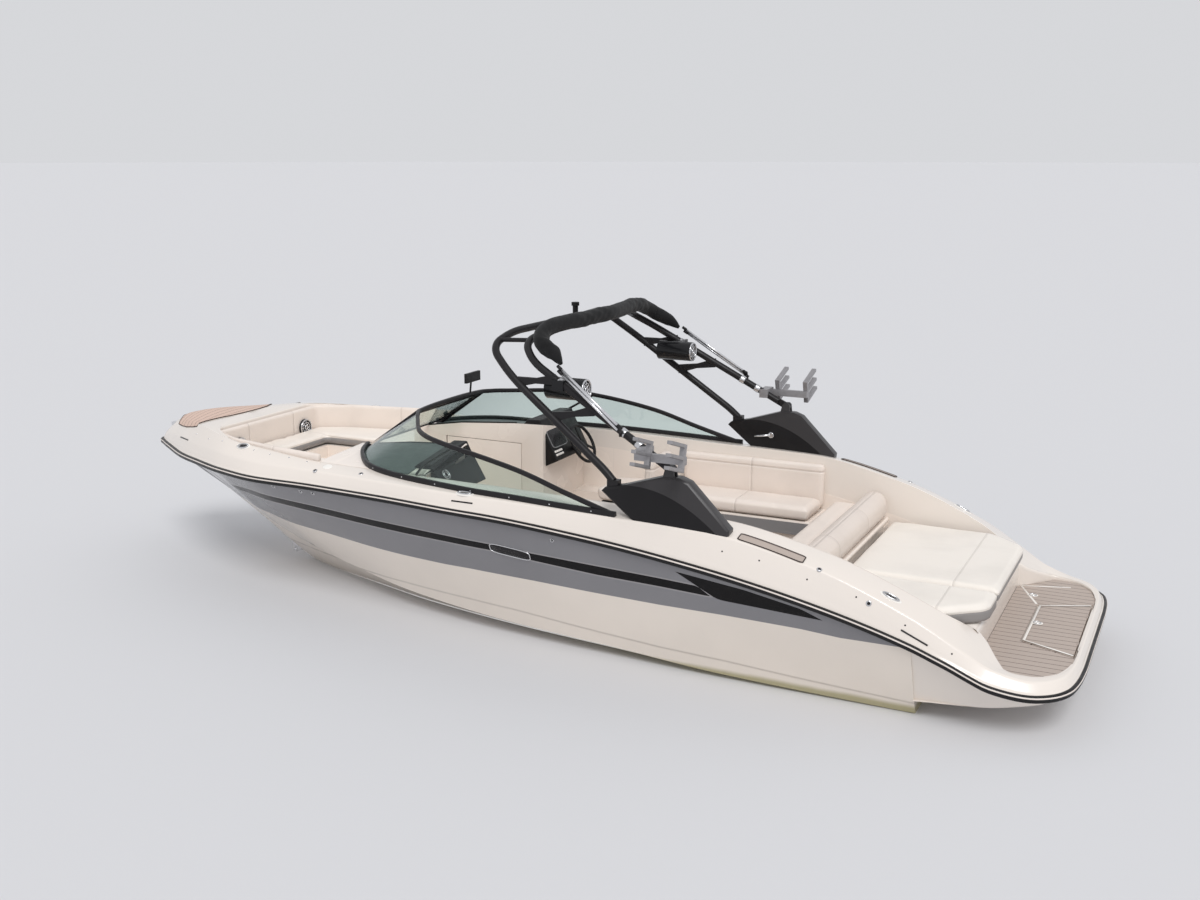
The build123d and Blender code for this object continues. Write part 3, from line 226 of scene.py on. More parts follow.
def bright_metal(name, colour, rough, metal=1.0):
    """Polished metal: fine scratches, and faint darker marks."""
    paint = Paint(name)
    scratches = paint.noise(260.0, 3.0)
    marks = paint.ramp(paint.noise(24.0, 4.0), 0.5, 0.75)
    tint = paint.blend(marks, colour, dimmed(colour, 0.86))
    gloss = paint.ramp(scratches, 0.3, 0.7, rough, rough + 0.12)
    return paint.finish(tint, gloss, paint.bump(scratches, 0.08), Metallic=metal)


def vinyl(name, colour, seams=(), band=None):
    """Marine vinyl: a leather grain, stitched grooves across given axes, and a grey band low down."""
    paint = Paint(name)
    cells = paint.node("ShaderNodeTexVoronoi", {"feature": "DISTANCE_TO_EDGE"},
                       {"Vector": paint.place, "Scale": 420.0})["Distance"]
    grain = 0.2 * paint.ramp(cells, 0.0, 0.09) + 0.1 * paint.noise(160.0, 3.0)
    pucker = paint.noise(34.0, 3.0)
    soil = paint.ramp(paint.noise(2.2, 4.0), 0.42, 0.75)
    tint = paint.blend(soil, colour, dimmed(colour, 0.93))
    if band:
        tint = paint.blend(paint.ramp(paint.axes["Z"], band - 0.001, band + 0.001), PIPING_GREY, tint)
        seams = [*seams, ("Z", band)]
    for axis, place in seams:
        away = abs(paint.axes[axis] - place)
        groove = paint.ramp(away, 0.001, 0.016, 1.0, 0.0)
        grain = grain - 3.6 * groove - groove * pucker * 2.0
        tint = paint.blend(paint.ramp(away, 0.0012, 0.004, 0.34, 0.0), tint, linear(150, 138, 128))
    gloss = paint.ramp(paint.noise(9.0, 4.0), 0.3, 0.7, 0.38, 0.5)
    return paint.finish(tint, gloss, paint.bump(grain, 1.0))


def plank_mat(name, ground, line, spacing, offset=0.0, across=False):
    """Foam decking: planks of one width with a routed line between each two, brushed lengthwise."""
    paint = Paint(name)
    stretch = (60, 4, 60) if across else (4, 60, 60)
    place = paint.axes["X" if across else "Y"] + offset
    cycle = paint.maths("FRACT", place / spacing + 50.0)
    line_mask = 1 - paint.ramp(abs(cycle - 0.5), 0.0025 / spacing, 0.0045 / spacing)
    plank = paint.maths("FLOOR", place / spacing + 49.5)
    tone = paint.node("ShaderNodeTexWhiteNoise", {"noise_dimensions": "1D"}, {"W": plank})["Value"]
    fibres = paint.noise(9.0, 6.0, stretch=stretch)
    base = paint.blend(paint.ramp(fibres, 0.3, 0.7), dimmed(ground, 0.88), ground)
    base = paint.blend(tone * 0.2, base, dimmed(ground, 0.86))
    colour = paint.blend(line_mask, base, line)
    height = paint.noise(700.0, 2.0) * 0.35 - line_mask * 2.0
    return paint.finish(colour, 0.72, paint.bump(height, 0.5))


THREAD_PITCH = 0.0011


def canvas(name, colour):
    """Woven acrylic canvas: two crossed sets of threads, a little faded in patches."""
    paint = Paint(name)
    thread = 2 * math.pi / THREAD_PITCH
    weave = paint.maths("SINE", paint.axes["X"] * thread) * paint.maths("SINE", paint.axes["Y"] * thread)
    fade = paint.ramp(paint.noise(6.0, 5.0), 0.4, 0.75)
    tint = paint.blend(fade, colour, dimmed(colour, 1.3, 0.003))
    return paint.finish(tint, 0.85, paint.bump(weave, 0.3, 0.0004), Sheen_Weight=0.1,
                        Specular_IOR_Level=0.2)


def tinted_glass(name, tint):
    """Thin tinted glass: light passes straight through it, and its skin mirrors more at a slant."""
    paint = Paint(name)
    facing = paint.node("ShaderNodeLayerWeight", sockets={"Blend": 0.5})["Facing"]
    slant = paint.maths("POWER", facing, 5.0) * 0.9 + 0.045
    clear = paint.node("ShaderNodeBsdfTransparent", sockets={"Color": tint})["BSDF"]
    smears = paint.ramp(paint.noise(5.0, 5.0), 0.4, 0.7, 0.02, 0.09)
    sockets = {"Base Color": linear(232, 238, 238), "Roughness": smears, "Metallic": 1.0}
    skin = paint.node("ShaderNodeBsdfPrincipled", sockets=sockets)["BSDF"]
    sockets = {0: slant, 1: clear, 2: skin}
    mixed = paint.node("ShaderNodeMixShader", sockets=sockets)["Shader"]
    paint.node("ShaderNodeOutputMaterial", sockets={"Surface": mixed})
    return paint.material


def fairing_paint():
    """Black moulding with a satin band along its top: the band ends on a curve, a parabola of x."""
    paint = Paint("fairing")
    x = paint.axes["X"]
    curve = 1.52 - 0.648 * ((x + 1.2) * (x + 1.6))
    band = paint.ramp(paint.axes["Z"] - curve, -0.002, 0.002)
    dust = paint.ramp(paint.noise(5.0, 5.0), 0.45, 0.8)
    dark = paint.blend(dust, linear(18, 16, 18), linear(24, 22, 24))
    tint = paint.blend(band, dark, linear(58, 56, 57))
    height = band * 1.2 + 0.12 * paint.noise(900.0, 2.0)
    return paint.finish(tint, paint.ramp(band, 0.0, 1.0, 0.42, 0.3), paint.bump(height, 1.0),
                        Specular_IOR_Level=0.3)


finishes = {
    "gelcoat_deck": gelcoat("gelcoat_deck", WHITE),
    "liner": gelcoat("liner", LINER_WHITE, 0.1),
    "gelcoat_hull": gelcoat("gelcoat_hull", HULL_WHITE),
    "rub_rail": moulded_plastic("rub_rail", BLACK, 0.3),
    "black_metal": moulded_plastic("black_metal", linear(28, 26, 28), 0.34, 0.12),
    "black_plastic": moulded_plastic("black_plastic", BLACK),
    "dash": moulded_plastic("dash", linear(22, 21, 22), 0.36),
    "tinted_glass": tinted_glass("tinted_glass", linear(238, 245, 242)),
    "vinyl": vinyl("vinyl", CREAM, [("X", -1.46), ("X", -0.74), ("Z", 1.165)]),
    "vinyl_pad": vinyl("vinyl_pad", linear(243, 236, 227), [("X", -3.63)], 0.748),
    "vinyl_roll": vinyl("vinyl_roll", linear(228, 216, 206), [("Y", 0.45), ("Y", -0.42), ("X", -2.63)]),
    "vinyl_bow": vinyl("vinyl_bow", linear(243, 234, 224), [("Y", 0.435), ("Y", -0.435)], 1.155),
    "vinyl_bow_back": vinyl("vinyl_bow_back", CREAM, [("X", 2.35), ("Y", 0.34), ("Y", -0.34)]),
    "fairing": fairing_paint(),
    "seat_base": gelcoat("seat_base", LINER_WHITE, 0.1),
    "deck_mat": plank_mat("deck_mat", MAT_GREY, MAT_LINE, 0.088, 0.01),
    "bow_teak": plank_mat("bow_teak", TEAK, linear(110, 84, 76), 0.1, 0.0, True),
    "floor_mat": plank_mat("floor_mat", linear(176, 164, 155), linear(104, 94, 90), 0.075),
    "dash_pad": vinyl("dash_pad", linear(84, 92, 92)),
    "grey_panel": gelcoat("grey_panel", linear(132, 131, 132)),
    "accent": moulded_plastic("accent", linear(240, 236, 230), 0.4, 0.05),
    "canvas": canvas("canvas", linear(22, 22, 23)),
    "bright_tube": bright_metal("bright_tube", linear(226, 226, 228), 0.16),
    "aluminium": bright_metal("aluminium", linear(158, 156, 158), 0.38, metal=0.6),
    "speaker": moulded_plastic("speaker", linear(24, 24, 26), 0.12, 0.03),
    "engine": moulded_plastic("engine", linear(52, 54, 60), 0.4),
    "drive": moulded_plastic("drive", linear(30, 31, 34), 0.28, 0.06),
    "propeller": bright_metal("propeller", linear(196, 198, 202), 0.22),
}
print("finishes mixed:", len(finishes))

# %% [markdown]
# Every shape that isn't in the construction model is a grid of points: a function of two parameters,
# or a profile carried along a path. The helpers below turn such grids into meshes. Seams and poles
# come out closed, because points that fall on one another are merged.

# %% Meshes: the helpers
MERGE = 1e-5


def grid_faces(rows, columns, start=0):
    """Four-sided faces between the neighbours of a grid of points, row by row."""
    row, column = np.meshgrid(np.arange(rows - 1), np.arange(columns - 1), indexing="ij")
    first = row * columns + column
    faces = np.stack([first, first + 1, first + columns + 1, first + columns], axis=-1)
    return start + faces.reshape(-1, 4)


def piece_of(name, grids, finish, body="root", outward=True):
    """One object from grids of points. Closed grids get their faces turned outwards."""
    points = np.concatenate([np.reshape(grid, (-1, 3)) for grid in grids])
    starts = np.cumsum([0] + [grid.shape[0] * grid.shape[1] for grid in grids])
    faces = np.concatenate([grid_faces(grid.shape[0], grid.shape[1], start)
                            for grid, start in zip(grids, starts)])
    mesh = bpy.data.meshes.new(name)
    mesh.from_pydata(points.tolist(), [], faces.tolist())
    return dress(name, mesh, finish, body, outward)


def dress(name, mesh, finish, body="root", outward=True):
    """Merges a mesh's doubles, turns its faces and makes it an object on a body."""
    work = bmesh.new()
    work.from_mesh(mesh)
    bmesh.ops.remove_doubles(work, verts=work.verts, dist=MERGE)
    bmesh.ops.dissolve_degenerate(work, edges=work.edges, dist=MERGE)
    if outward:
        bmesh.ops.recalc_face_normals(work, faces=work.faces)
    for face in work.faces:
        face.smooth = True
    work.to_mesh(mesh)
    work.free()
    piece = bpy.data.objects.new(name, mesh)
    bpy.context.scene.collection.objects.link(piece)
    mesh.materials.append(finishes[finish])
    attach(piece, body)
    return piece


def settle(piece, angle=38):
    """Applies a piece's modifiers, and keeps its edges sharp past an angle."""
    graph = bpy.context.evaluated_depsgraph_get()
    made = bpy.data.meshes.new_from_object(piece.evaluated_get(graph))
    piece.modifiers.clear()
    piece.data = made
    made.set_sharp_from_angle(angle=math.radians(angle))
    return piece


def facing(grid, way=(0, 0, 1)):
    """The same grid, its columns turned round if its faces look away from a way."""
    one, two = grid[1:, :-1] - grid[:-1, :-1], grid[:-1, 1:] - grid[:-1, :-1]
    looks = np.cross(two, one).reshape(-1, 3).sum(axis=0)
    return grid if looks @ np.asarray(way, float) > 0 else grid[:, ::-1]


def wall(piece, thick, angle=38):
    """Gives an open sheet a wall on its inner side."""
    solid = piece.modifiers.new("wall", "SOLIDIFY")
    solid.thickness = thick
    solid.offset = -1
    return settle(piece, angle)


EDGE_STEPS = 4
EDGE_ANGLE, SHARP_ANGLE = 30, 24


def softened(node, finish, radius, body):
    """A copy of a rigid node with its faces joined up and its edges rounded over."""
    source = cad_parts[node]
    mesh = source.data.copy()
    work = bmesh.new()
    work.from_mesh(mesh)
    bmesh.ops.remove_doubles(work, verts=work.verts, dist=MERGE)
    bmesh.ops.dissolve_limit(work, angle_limit=math.radians(0.6), verts=work.verts, edges=work.edges)
    for face in work.faces:
        face.smooth = True
    work.to_mesh(mesh)
    work.free()
    mesh.materials.clear()
    mesh.materials.append(finishes[finish])
    piece = bpy.data.objects.new(node + "_rounded", mesh)
    bpy.context.scene.collection.objects.link(piece)
    bevel = piece.modifiers.new("edges", "BEVEL")
    bevel.width = radius
    bevel.segments = EDGE_STEPS
    bevel.limit_method = "ANGLE"
    bevel.angle_limit = math.radians(EDGE_ANGLE)
    bevel.harden_normals = True
    bevel.miter_outer = "MITER_ARC"
    settle(piece, SHARP_ANGLE)
    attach(piece, body)
    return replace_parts(piece, node)


def steady(where, knots, values):
    """Values between knots on cubics that never overshoot: each slope is a weighted harmonic mean."""
    where, knots = np.asarray(where, float), np.asarray(knots, float)
    values = np.asarray(values, float)
    gap = np.diff(knots)
    rise = np.diff(values) / gap
    slope = np.zeros_like(values)
    before, after = 2 * gap[1:] + gap[:-1], gap[1:] + 2 * gap[:-1]
    level = rise[:-1] * rise[1:] > 0
    safe_left = np.where(level, rise[:-1], 1.0)
    safe_right = np.where(level, rise[1:], 1.0)
    slope[1:-1] = np.where(level, (before + after) / (before / safe_left + after / safe_right), 0.0)
    slope[0], slope[-1] = rise[0], rise[-1]
    cell = np.clip(np.searchsorted(knots, where, side="right") - 1, 0, len(gap) - 1)
    share = np.clip((where - knots[cell]) / gap[cell], 0, 1)
    start = (1 + 2 * share) * (1 - share) ** 2 * values[cell]
    end = share ** 2 * (3 - 2 * share) * values[cell + 1]
    lean = share * (1 - share) ** 2 * gap[cell] * slope[cell]
    lean_end = share ** 2 * (share - 1) * gap[cell] * slope[cell + 1]
    return start + end + lean + lean_end


def unit(vectors):
    return vectors / np.maximum(np.linalg.norm(vectors, axis=-1, keepdims=True), 1e-12)


def rounded(corners, radii, steps=6):
    """A profile through corner lines, each corner cut back by its radius and bridged by a parabola."""
    rows = [corners[0]]
    for before, corner, after, radius in zip(corners, corners[1:], corners[2:], radii):
        back, ahead = before - corner, after - corner
        room = 0.45 * np.minimum(np.linalg.norm(back, axis=-1), np.linalg.norm(ahead, axis=-1))
        reach = np.minimum(radius, room)[:, None]
        start, end = corner + unit(back) * reach, corner + unit(ahead) * reach
        rows += [(1 - s) ** 2 * start + 2 * s * (1 - s) * corner + s ** 2 * end
                 for s in np.linspace(0, 1, steps)]
    return np.stack(rows + [corners[-1]])


def bar(points, radius, sides=16, up=(0, 0, 1), squash=1.0, caps=True, corner=1.0):
    """A bar along a line of points, its ends closed. A corner power below one squares the circle."""
    points = np.asarray(points, float)
    along = unit(np.gradient(points, axis=0))
    side = unit(np.cross(along, np.asarray(up, float)))
    rise = np.cross(side, along)
    turn = np.linspace(0, 2 * np.pi, sides + 1)
    radius = np.broadcast_to(radius, (len(points),))[None, :, None]
    across, above = [np.sign(wave) * np.abs(wave) ** corner for wave in (np.cos(turn), np.sin(turn))]
    ring = side[None] * across[:, None, None] * squash + rise[None] * above[:, None, None]
    grid = points[None] + radius * ring
    if caps:
        ends = [np.broadcast_to(points[i], grid[:, :1].shape) for i in (0, -1)]
        grid = np.concatenate([ends[0], grid, ends[1]], axis=1)
    return grid


def curve_through(points, count=48):
    """A smooth line through a few points, by their distance along it."""
    points = np.asarray(points, float)
    reach = np.concatenate([[0], np.cumsum(np.linalg.norm(np.diff(points, axis=0), axis=1))])
    where = np.linspace(0, reach[-1], count)
    return np.stack([steady(where, reach, points[:, axis]) for axis in range(3)], axis=1)


# %% [markdown]
# The lines plan is the heart of a boat. Each row is one station, and each column is a line that runs
# from stern to bow: keel, chine, colour line, rail, deck edge and coaming. Between stations the lines
# follow smooth curves, so the hull and the deck share one fair shape with no facets. The swim
# platform's rows come first, and there the loops have turned to run across the stern.

# %% Lines plan, in millimetres
HULL_ROWS = np.array([
    # x, keel, chine y and z, colour line y and z, rail y and z, edge y and z, coaming y and z, crown
    (-3550, -470, 1170, 5, 1325, 300, 1460, 620, 1415, 810, 1140, 860, 870),
    (-2800, -470, 1170, 20, 1335, 420, 1490, 830, 1440, 1100, 1180, 1150, 1160),
    (-2000, -470, 1160, 40, 1325, 500, 1500, 980, 1455, 1255, 1200, 1300, 1320),
    (-1000, -455, 1130, 100, 1290, 520, 1500, 1100, 1460, 1285, 1200, 1320, 1345),
    (0, -420, 1055, 135, 1220, 510, 1500, 1165, 1455, 1305, 1205, 1340, 1370),
    (1000, -375, 900, 190, 1080, 500, 1425, 1180, 1385, 1310, 1190, 1345, 1380),
    (1700, -300, 710, 250, 900, 490, 1355, 1175, 1305, 1305, 1165, 1350, 1390),
    (2350, -170, 500, 310, 690, 480, 1290, 1158, 1225, 1290, 1080, 1378, 1420),
    (2900, 65, 300, 380, 420, 480, 1120, 1143, 1060, 1280, 960, 1400, 1440),
    (3400, 370, 150, 500, 240, 590, 870, 1120, 815, 1260, 720, 1420, 1455),
    (3840, 620, 100, 720, 190, 790, 620, 1095, 565, 1235, 440, 1385, 1440),
    (4250, 820, 60, 880, 120, 930, 335, 1080, 285, 1200, 190, 1300, 1370),
    (4500, 970, 30, 1000, 60, 1022, 150, 1070, 115, 1150, 70, 1205, 1235),
    (4620, 1035, 10, 1045, 18, 1052, 42, 1066, 32, 1100, 18, 1115, 1122),
]) / 1000
STERN_ROWS = np.array([
    # rail x, y, z, then edge x, y, z, coaming x, y, z, well x, y, z and skirt x, y, z
    (-4640, 0, 350, -4600, 0, 425, -4590, 0, 430, -4575, 0, 428, -4600, 0, 270),
    (-4640, 600, 350, -4600, 590, 425, -4590, 580, 430, -4575, 570, 428, -4600, 570, 270),
    (-4632, 850, 350, -4591, 825, 426, -4580, 805, 430, -4566, 785, 428, -4594, 790, 270),
    (-4600, 1080, 345, -4560, 1030, 430, -4543, 995, 432, -4526, 965, 430, -4560, 980, 265),
    (-4520, 1235, 340, -4485, 1180, 432, -4462, 1130, 434, -4446, 1100, 434, -4490, 1130, 255),
    (-4400, 1330, 340, -4375, 1270, 435, -4360, 1205, 438, -4345, 1180, 438, -4385, 1220, 240),
    (-4100, 1420, 390, -4100, 1345, 500, -4120, 1245, 480, -4180, 1195, 452, -4100, 1270, 190),
    (-3930, 1437, 460, -3930, 1376, 594, -3930, 1158, 606, -3930, 895, 610, -3930, 1262, 165),
    (-3830, 1446, 508, -3830, 1391, 652, -3830, 1112, 690, -3830, 1000, 694, -3830, 1254, 153),
    (-3700, 1454, 562, -3700, 1404, 730, -3700, 1110, 776, -3700, 1095, 778, -3700, 1240, 146),
]) / 1000
BOW_WELL_X = 3.29
WELL_INSET = 0.01


def loop_knots():
    """The port half's loops, from the middle of the stern to the tip of the bow, with that closed."""
    x = HULL_ROWS[:, 0]
    hull = {"rail": HULL_ROWS[:, [0, 6, 7]], "edge": HULL_ROWS[:, [0, 8, 9]],
            "coaming": HULL_ROWS[:, [0, 10, 11]]}
    reach = np.clip((x - 3.0) / 0.6, 0, 1)
    share = np.clip((x - 3.3) / (x[-1] - 3.3), 0, 1)
    well_y = np.where(x < 3.3, HULL_ROWS[:, 10] - WELL_INSET, 0.68 * (1 - share) ** 0.8)
    well_z = HULL_ROWS[:, 11] + 0.004 * reach
    hull["well"] = np.stack([np.minimum(x, BOW_WELL_X), well_y, well_z], axis=1)
    hull["well"][x > 3.3, 2] = 1.43
    stern = {name: STERN_ROWS[:, 3 * index:3 * index + 3]
             for index, name in enumerate(("rail", "edge", "coaming", "well"))}
    loops = {name: np.concatenate([stern[name], hull[name]]) for name in hull}
    for name in loops:
        tip = loops[name][-1] * (1, 0, 1)
        loops[name] = np.concatenate([loops[name], tip[None]])
    return loops


KNOTS = loop_knots()
steps = np.linalg.norm(np.diff(KNOTS["rail"], axis=0), axis=1)
REACH = np.concatenate([[0], np.cumsum(steps)])


def full_loop(name, where, lift=0.0):
    """A loop's points round the whole boat, for a table of distances along the port rail."""
    knots = KNOTS[name]
    both = np.concatenate([REACH, 2 * REACH[-1] - REACH[-2::-1]])
    mirrored = knots[-2::-1] * (1, -1, 1)
    values = np.concatenate([knots, mirrored])
    points = np.stack([steady(where, both, values[:, axis]) for axis in range(3)], axis=1)
    return points + (0, 0, lift)


def hull_line(x, column):
    """One column of the lines plan at any x."""
    return steady(x, HULL_ROWS[:, 0], HULL_ROWS[:, column])


ALONG = np.linspace(0, 2 * REACH[-1], 401)
print("length of the rail, once round:", round(float(2 * REACH[-1]), 2), "m")

# %% [markdown]
# The hull's skin is a section carried along the boat: from the keel out to the chine, round a narrow
# flat there, and up the topsides to the rail. Its stripes are drawn by lines of height along the boat,
# measured on the photographed side. The maps that the skin carries give each point its distance above
# or below those lines, and the paint turns them into colours with sharp edges.

# %% Stripes, as points of (x, height) in metres
GREY_EDGE = [(-3.6, 0.607), (-3.03, 0.586), (-2.729, 0.602), (-2.113, 0.603), (-1.583, 0.596),
             (-1.032, 0.601), (-0.446, 0.613), (0.176, 0.616), (0.441, 0.608), (0.9, 0.606),
             (1.394, 0.613), (1.929, 0.631), (2.551, 0.629), (4.7, 0.62)]
STRAKE = [(-3.6, 0.10), (-2.689, 0.139), (-2.062, 0.174), (-1.527, 0.188), (-0.956, 0.221),
          (-0.237, 0.271), (0.283, 0.283), (1.053, 0.281), (1.639, 0.252), (4.7, 0.1)]
FLASH_UPPER = [(-4.0, 0.3), (-2.031, 0.755), (-1.934, 0.828), (-1.618, 0.842), (-1.078, 0.858),
               (-0.492, 0.878), (-0.11, 0.901), (0.334, 0.914), (1.221, 0.931), (1.705, 0.945),
               (2.199, 0.958), (2.638, 0.966), (3.26, 0.916), (4.7, 0.7)]
FLASH_LOWER = [(-4.0, 1.1), (-2.011, 0.754), (-1.608, 0.768), (-1.063, 0.778), (-0.477, 0.813),
               (-0.094, 0.844), (0.354, 0.853), (0.798, 0.855), (1.256, 0.864), (1.751, 0.873),
               (2.255, 0.89), (2.95, 0.885), (3.26, 0.916), (4.7, 1.2)]
WEDGE_UPPER = [(-4.0, 0.2), (-2.913, 0.712), (-2.745, 0.782), (-2.311, 0.864), (-1.761, 0.928),
               (0.0, 0.6)]
WEDGE_LOWER = [(-4.0, 1.2), (-2.913, 0.712), (-2.74, 0.716), (-2.128, 0.735), (-2.07, 0.745),
               (-1.761, 0.928), (0.0, 1.4)]


def line_at(x, knots):
    """The height of a stripe's edge at each x."""
    return np.interp(x, *np.array(knots).T)


def places_of(piece):
    points = np.empty(len(piece.data.vertices) * 3)
    piece.data.vertices.foreach_get("co", points)
    return points.reshape(-1, 3)


def chart(piece, name, across, above):
    """A map on a piece: two values for each point, which its paint reads."""
    layer = piece.data.uv_layers.new(name=name)
    corners = np.empty(len(piece.data.loops), dtype=np.int64)
    piece.data.loops.foreach_get("vertex_index", corners)
    layer.data.foreach_set("uv", np.stack([across, above], axis=1)[corners].ravel())


# %% [markdown]
# The skin is one sheet from rail to rail, with its transom and its stem closed, and it then gets a wall
# on its inner side. Two engine beds lie inside, on the bottom of the hull.

# %% Hull skin
CHINE_FLAT = 0.045
BOTTOM_SAG = 0.012
HULL_STEPS = 241
BED_X, BED_Z = (-3.49, -2.2), (-0.352, -0.3)
BED_Y, BED_HALF = 0.24, 0.04


def hull_section(x):
    """Lines of the port half from keel to rail, one row of points for each line."""
    def at(y_column, z_column):
        y = hull_line(x, y_column) if y_column else np.zeros_like(x)
        return np.stack([x, y, hull_line(x, z_column)], axis=1)
    keel, chine, colour, rail = at(0, 1), at(2, 3), at(4, 5), at(6, 7)
    flat = np.minimum(CHINE_FLAT, 0.3 * chine[:, 1])
    inner = chine - np.stack([np.zeros_like(flat), flat, 0.1 * flat], axis=1)
    low = np.stack([keel + (inner - keel) * s for s in np.linspace(0, 1, 9)])
    low = low + np.sin(np.pi * np.linspace(0, 1, 9))[:, None, None] * (0, 0, -BOTTOM_SAG)
    share = np.linspace(0, 1, 19)[:, None, None]
    below = np.linalg.norm(colour - chine, axis=1)
    above = np.linalg.norm(rail - colour, axis=1)
    knot = (below / (below + above))[:, None]
    middle = (colour - (1 - knot) ** 2 * chine - knot ** 2 * rail) / (2 * knot * (1 - knot))
    middle = 0.5 * middle + 0.25 * (chine + rail)
    high = (1 - share) ** 2 * chine + 2 * share * (1 - share) * middle + share ** 2 * rail
    return np.concatenate([low, high]), colour


def build_hull():
    x = np.linspace(HULL_ROWS[0, 0], HULL_ROWS[-1, 0], HULL_STEPS)
    port, colour = hull_section(x)
    both = np.concatenate([port[::-1], port[1:] * (1, -1, 1)])
    cap = np.concatenate([both[:, :1] * (1, s, 1) for s in np.linspace(1, 0, 7)], axis=1)
    half = cap[: len(port)]
    other = cap[len(port) - 1:]
    stem = both[:, -1:]
    nose = np.concatenate([stem * (1, s, 1) for s in (1, 0)], axis=1)
    piece = piece_of("hull_skin", [both, half, other, nose[: len(port)], nose[len(port) - 1:]],
                     "gelcoat_hull")
    x, y, z = places_of(piece).T
    chart(piece, "edge", z - line_at(x, GREY_EDGE), z - line_at(x, STRAKE))
    for name, upper, lower in (("flash", FLASH_UPPER, FLASH_LOWER), ("wedge", WEDGE_UPPER, WEDGE_LOWER)):
        chart(piece, name, line_at(x, upper) - z, z - line_at(x, lower))
    wall(piece, 0.022)
    beds = [bed_grid(side) for side in (-1, 1)]
    print("hull skin:", len(piece.data.polygons), "faces")
    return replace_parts(piece, "hull"), beds


def bed_grid(side):
    """An engine bed: a long box-shaped bearer inside the bottom of the hull."""
    low = np.array([BED_X[0], side * BED_Y - BED_HALF, BED_Z[0]])
    high = np.array([BED_X[1], side * BED_Y + BED_HALF, BED_Z[1]])
    return box_grid(low, high)


def box_grid(low, high):
    """A closed box as one grid: a square of four sides carried from floor to lid, with both closed."""
    corners = np.array([(0, 0), (1, 0), (1, 1), (0, 1), (0, 0)])
    flat = low[:2] + corners * (high - low)[:2]
    middle = (low + high)[:2] / 2
    rows = [np.broadcast_to(middle, flat.shape), flat, flat, np.broadcast_to(middle, flat.shape)]
    heights = [low[2], low[2], high[2], high[2]]
    return np.stack([np.column_stack([row, np.full(5, z)]) for row, z in zip(rows, heights)])


def hull_paint():
    """Grey topsides over white, a black flash with a painted highlight along its edges, a wedge, and a
    stain at the waterline.
    """
    paint = Paint("hull_paint")

    def read(name):
        place = paint.node("ShaderNodeUVMap", {"uv_map": name})["UV"]
        split = paint.node("ShaderNodeSeparateXYZ", sockets={"Vector": place})
        return split["X"], split["Y"]

    above_edge, above_strake = read("edge")
    flash = paint.maths("MINIMUM", *read("flash"))
    wedge = paint.maths("MINIMUM", *read("wedge"))
    patches = paint.noise(1.4, 4.0)
    white = paint.blend(paint.ramp(patches, 0.35, 0.7), HULL_WHITE, dimmed(HULL_WHITE, 0.96))
    grey = paint.blend(paint.ramp(patches, 0.3, 0.75), TOPSIDE_GREY, dimmed(TOPSIDE_GREY, 0.94))
    # Painted highlight: a pale band about a centimetre wide along both edges of the flash, mixed in at
    # under half strength.
    grey = paint.blend(paint.ramp(flash, -0.013, -0.009, 0.0, 0.45), grey, linear(176, 172, 171))
    stripes = paint.maths("MAXIMUM", flash, wedge)
    grey = paint.blend(paint.ramp(stripes, -0.001, 0.001), grey, STRIPE_BLACK)
    colour = paint.blend(paint.ramp(above_edge, -0.001, 0.001), white, grey)
    stain = paint.ramp(paint.axes["Z"] + 0.03 * paint.noise(3.0, 4.0), 0.06, 0.115, 1.0, 0.0)
    stain = stain * paint.ramp(paint.axes["X"], -1.6, 0.4, 0.85, 0.1)
    colour = paint.blend(stain, colour, linear(168, 160, 118))
    rough = paint.ramp(paint.noise(6.0, 5.0), 0.3, 0.75, 0.13, 0.26)
    press = paint.ramp(above_strake, -0.012, 0.012, 0.0, 8.0) + 0.03 * paint.noise(360.0, 2.0)
    coat = paint.ramp(stripes, -0.001, 0.001, 0.35, 0.0)
    return paint.finish(colour, rough, paint.bump(press, 1.0), Coat_Weight=coat, Coat_Roughness=0.04,
                        Specular_IOR_Level=0.2)


finishes["hull_paint"] = hull_paint()
hull, beds = build_hull()
hull.data.materials.clear()
hull.data.materials.append(finishes["hull_paint"])
piece_of("engine_beds", beds, "gelcoat_hull")

# %% [markdown]
# The deck is one long band that runs round the boat. Its profile starts under the rub rail, climbs to
# the deck edge, crosses the side deck to the coaming, and rolls over into the wells. At the bow the
# inner side of the band turns across in front of the seats, so the foredeck is part of it. The corners
# of the profile are rounded by parabolas, which catch the light as a moulding does.

# %% Deck band
WELL_FLOORS = np.array([
    # x, and the height of the foot of the inner wall there
    (-4.575, 0.405), (-4.20, 0.405), (-3.90, 0.41), (-3.86, 0.60), (-3.82, 0.64), (-2.80, 0.64),
    (-2.70, 0.75), (0.33, 0.75), (1.76, 1.075), (3.20, 1.075),
])


def deck_band():
    rail, edge = full_loop("rail", ALONG), full_loop("edge", ALONG)
    coaming, well = full_loop("coaming", ALONG), full_loop("well", ALONG)
    foot_z = np.interp(well[:, 0], WELL_FLOORS[:, 0], WELL_FLOORS[:, 1])
    foot = np.column_stack([well[:, :2], foot_z])
    start = rail + (0, 0, -0.01)
    shoulder = edge * 0.28 + rail * 0.72
    outer = rounded([start, rail + (0, 0, 0.02), shoulder, edge, coaming], [0.01, 0.02, 0.018, 0.03], 5)
    share = np.linspace(0, 1, 9)[1:-1, None, None]
    across = coaming * (1 - share) + well * share
    half = np.maximum(hull_line(across[..., 0], 10), 1e-3)
    crown = hull_line(across[..., 0], 12)
    side = hull_line(across[..., 0], 11)
    arch = crown + (side - crown) * np.clip(np.abs(across[..., 1]) / half, 0, 1) ** 2
    forward = np.clip((across[..., 0] - 2.9) / 0.5, 0, 1)
    across[..., 2] = across[..., 2] * (1 - forward) + arch * forward
    inner = rounded([coaming, well, foot], [0.022], 6)[1:]
    return np.concatenate([outer[:-1], coaming[None], across, inner])


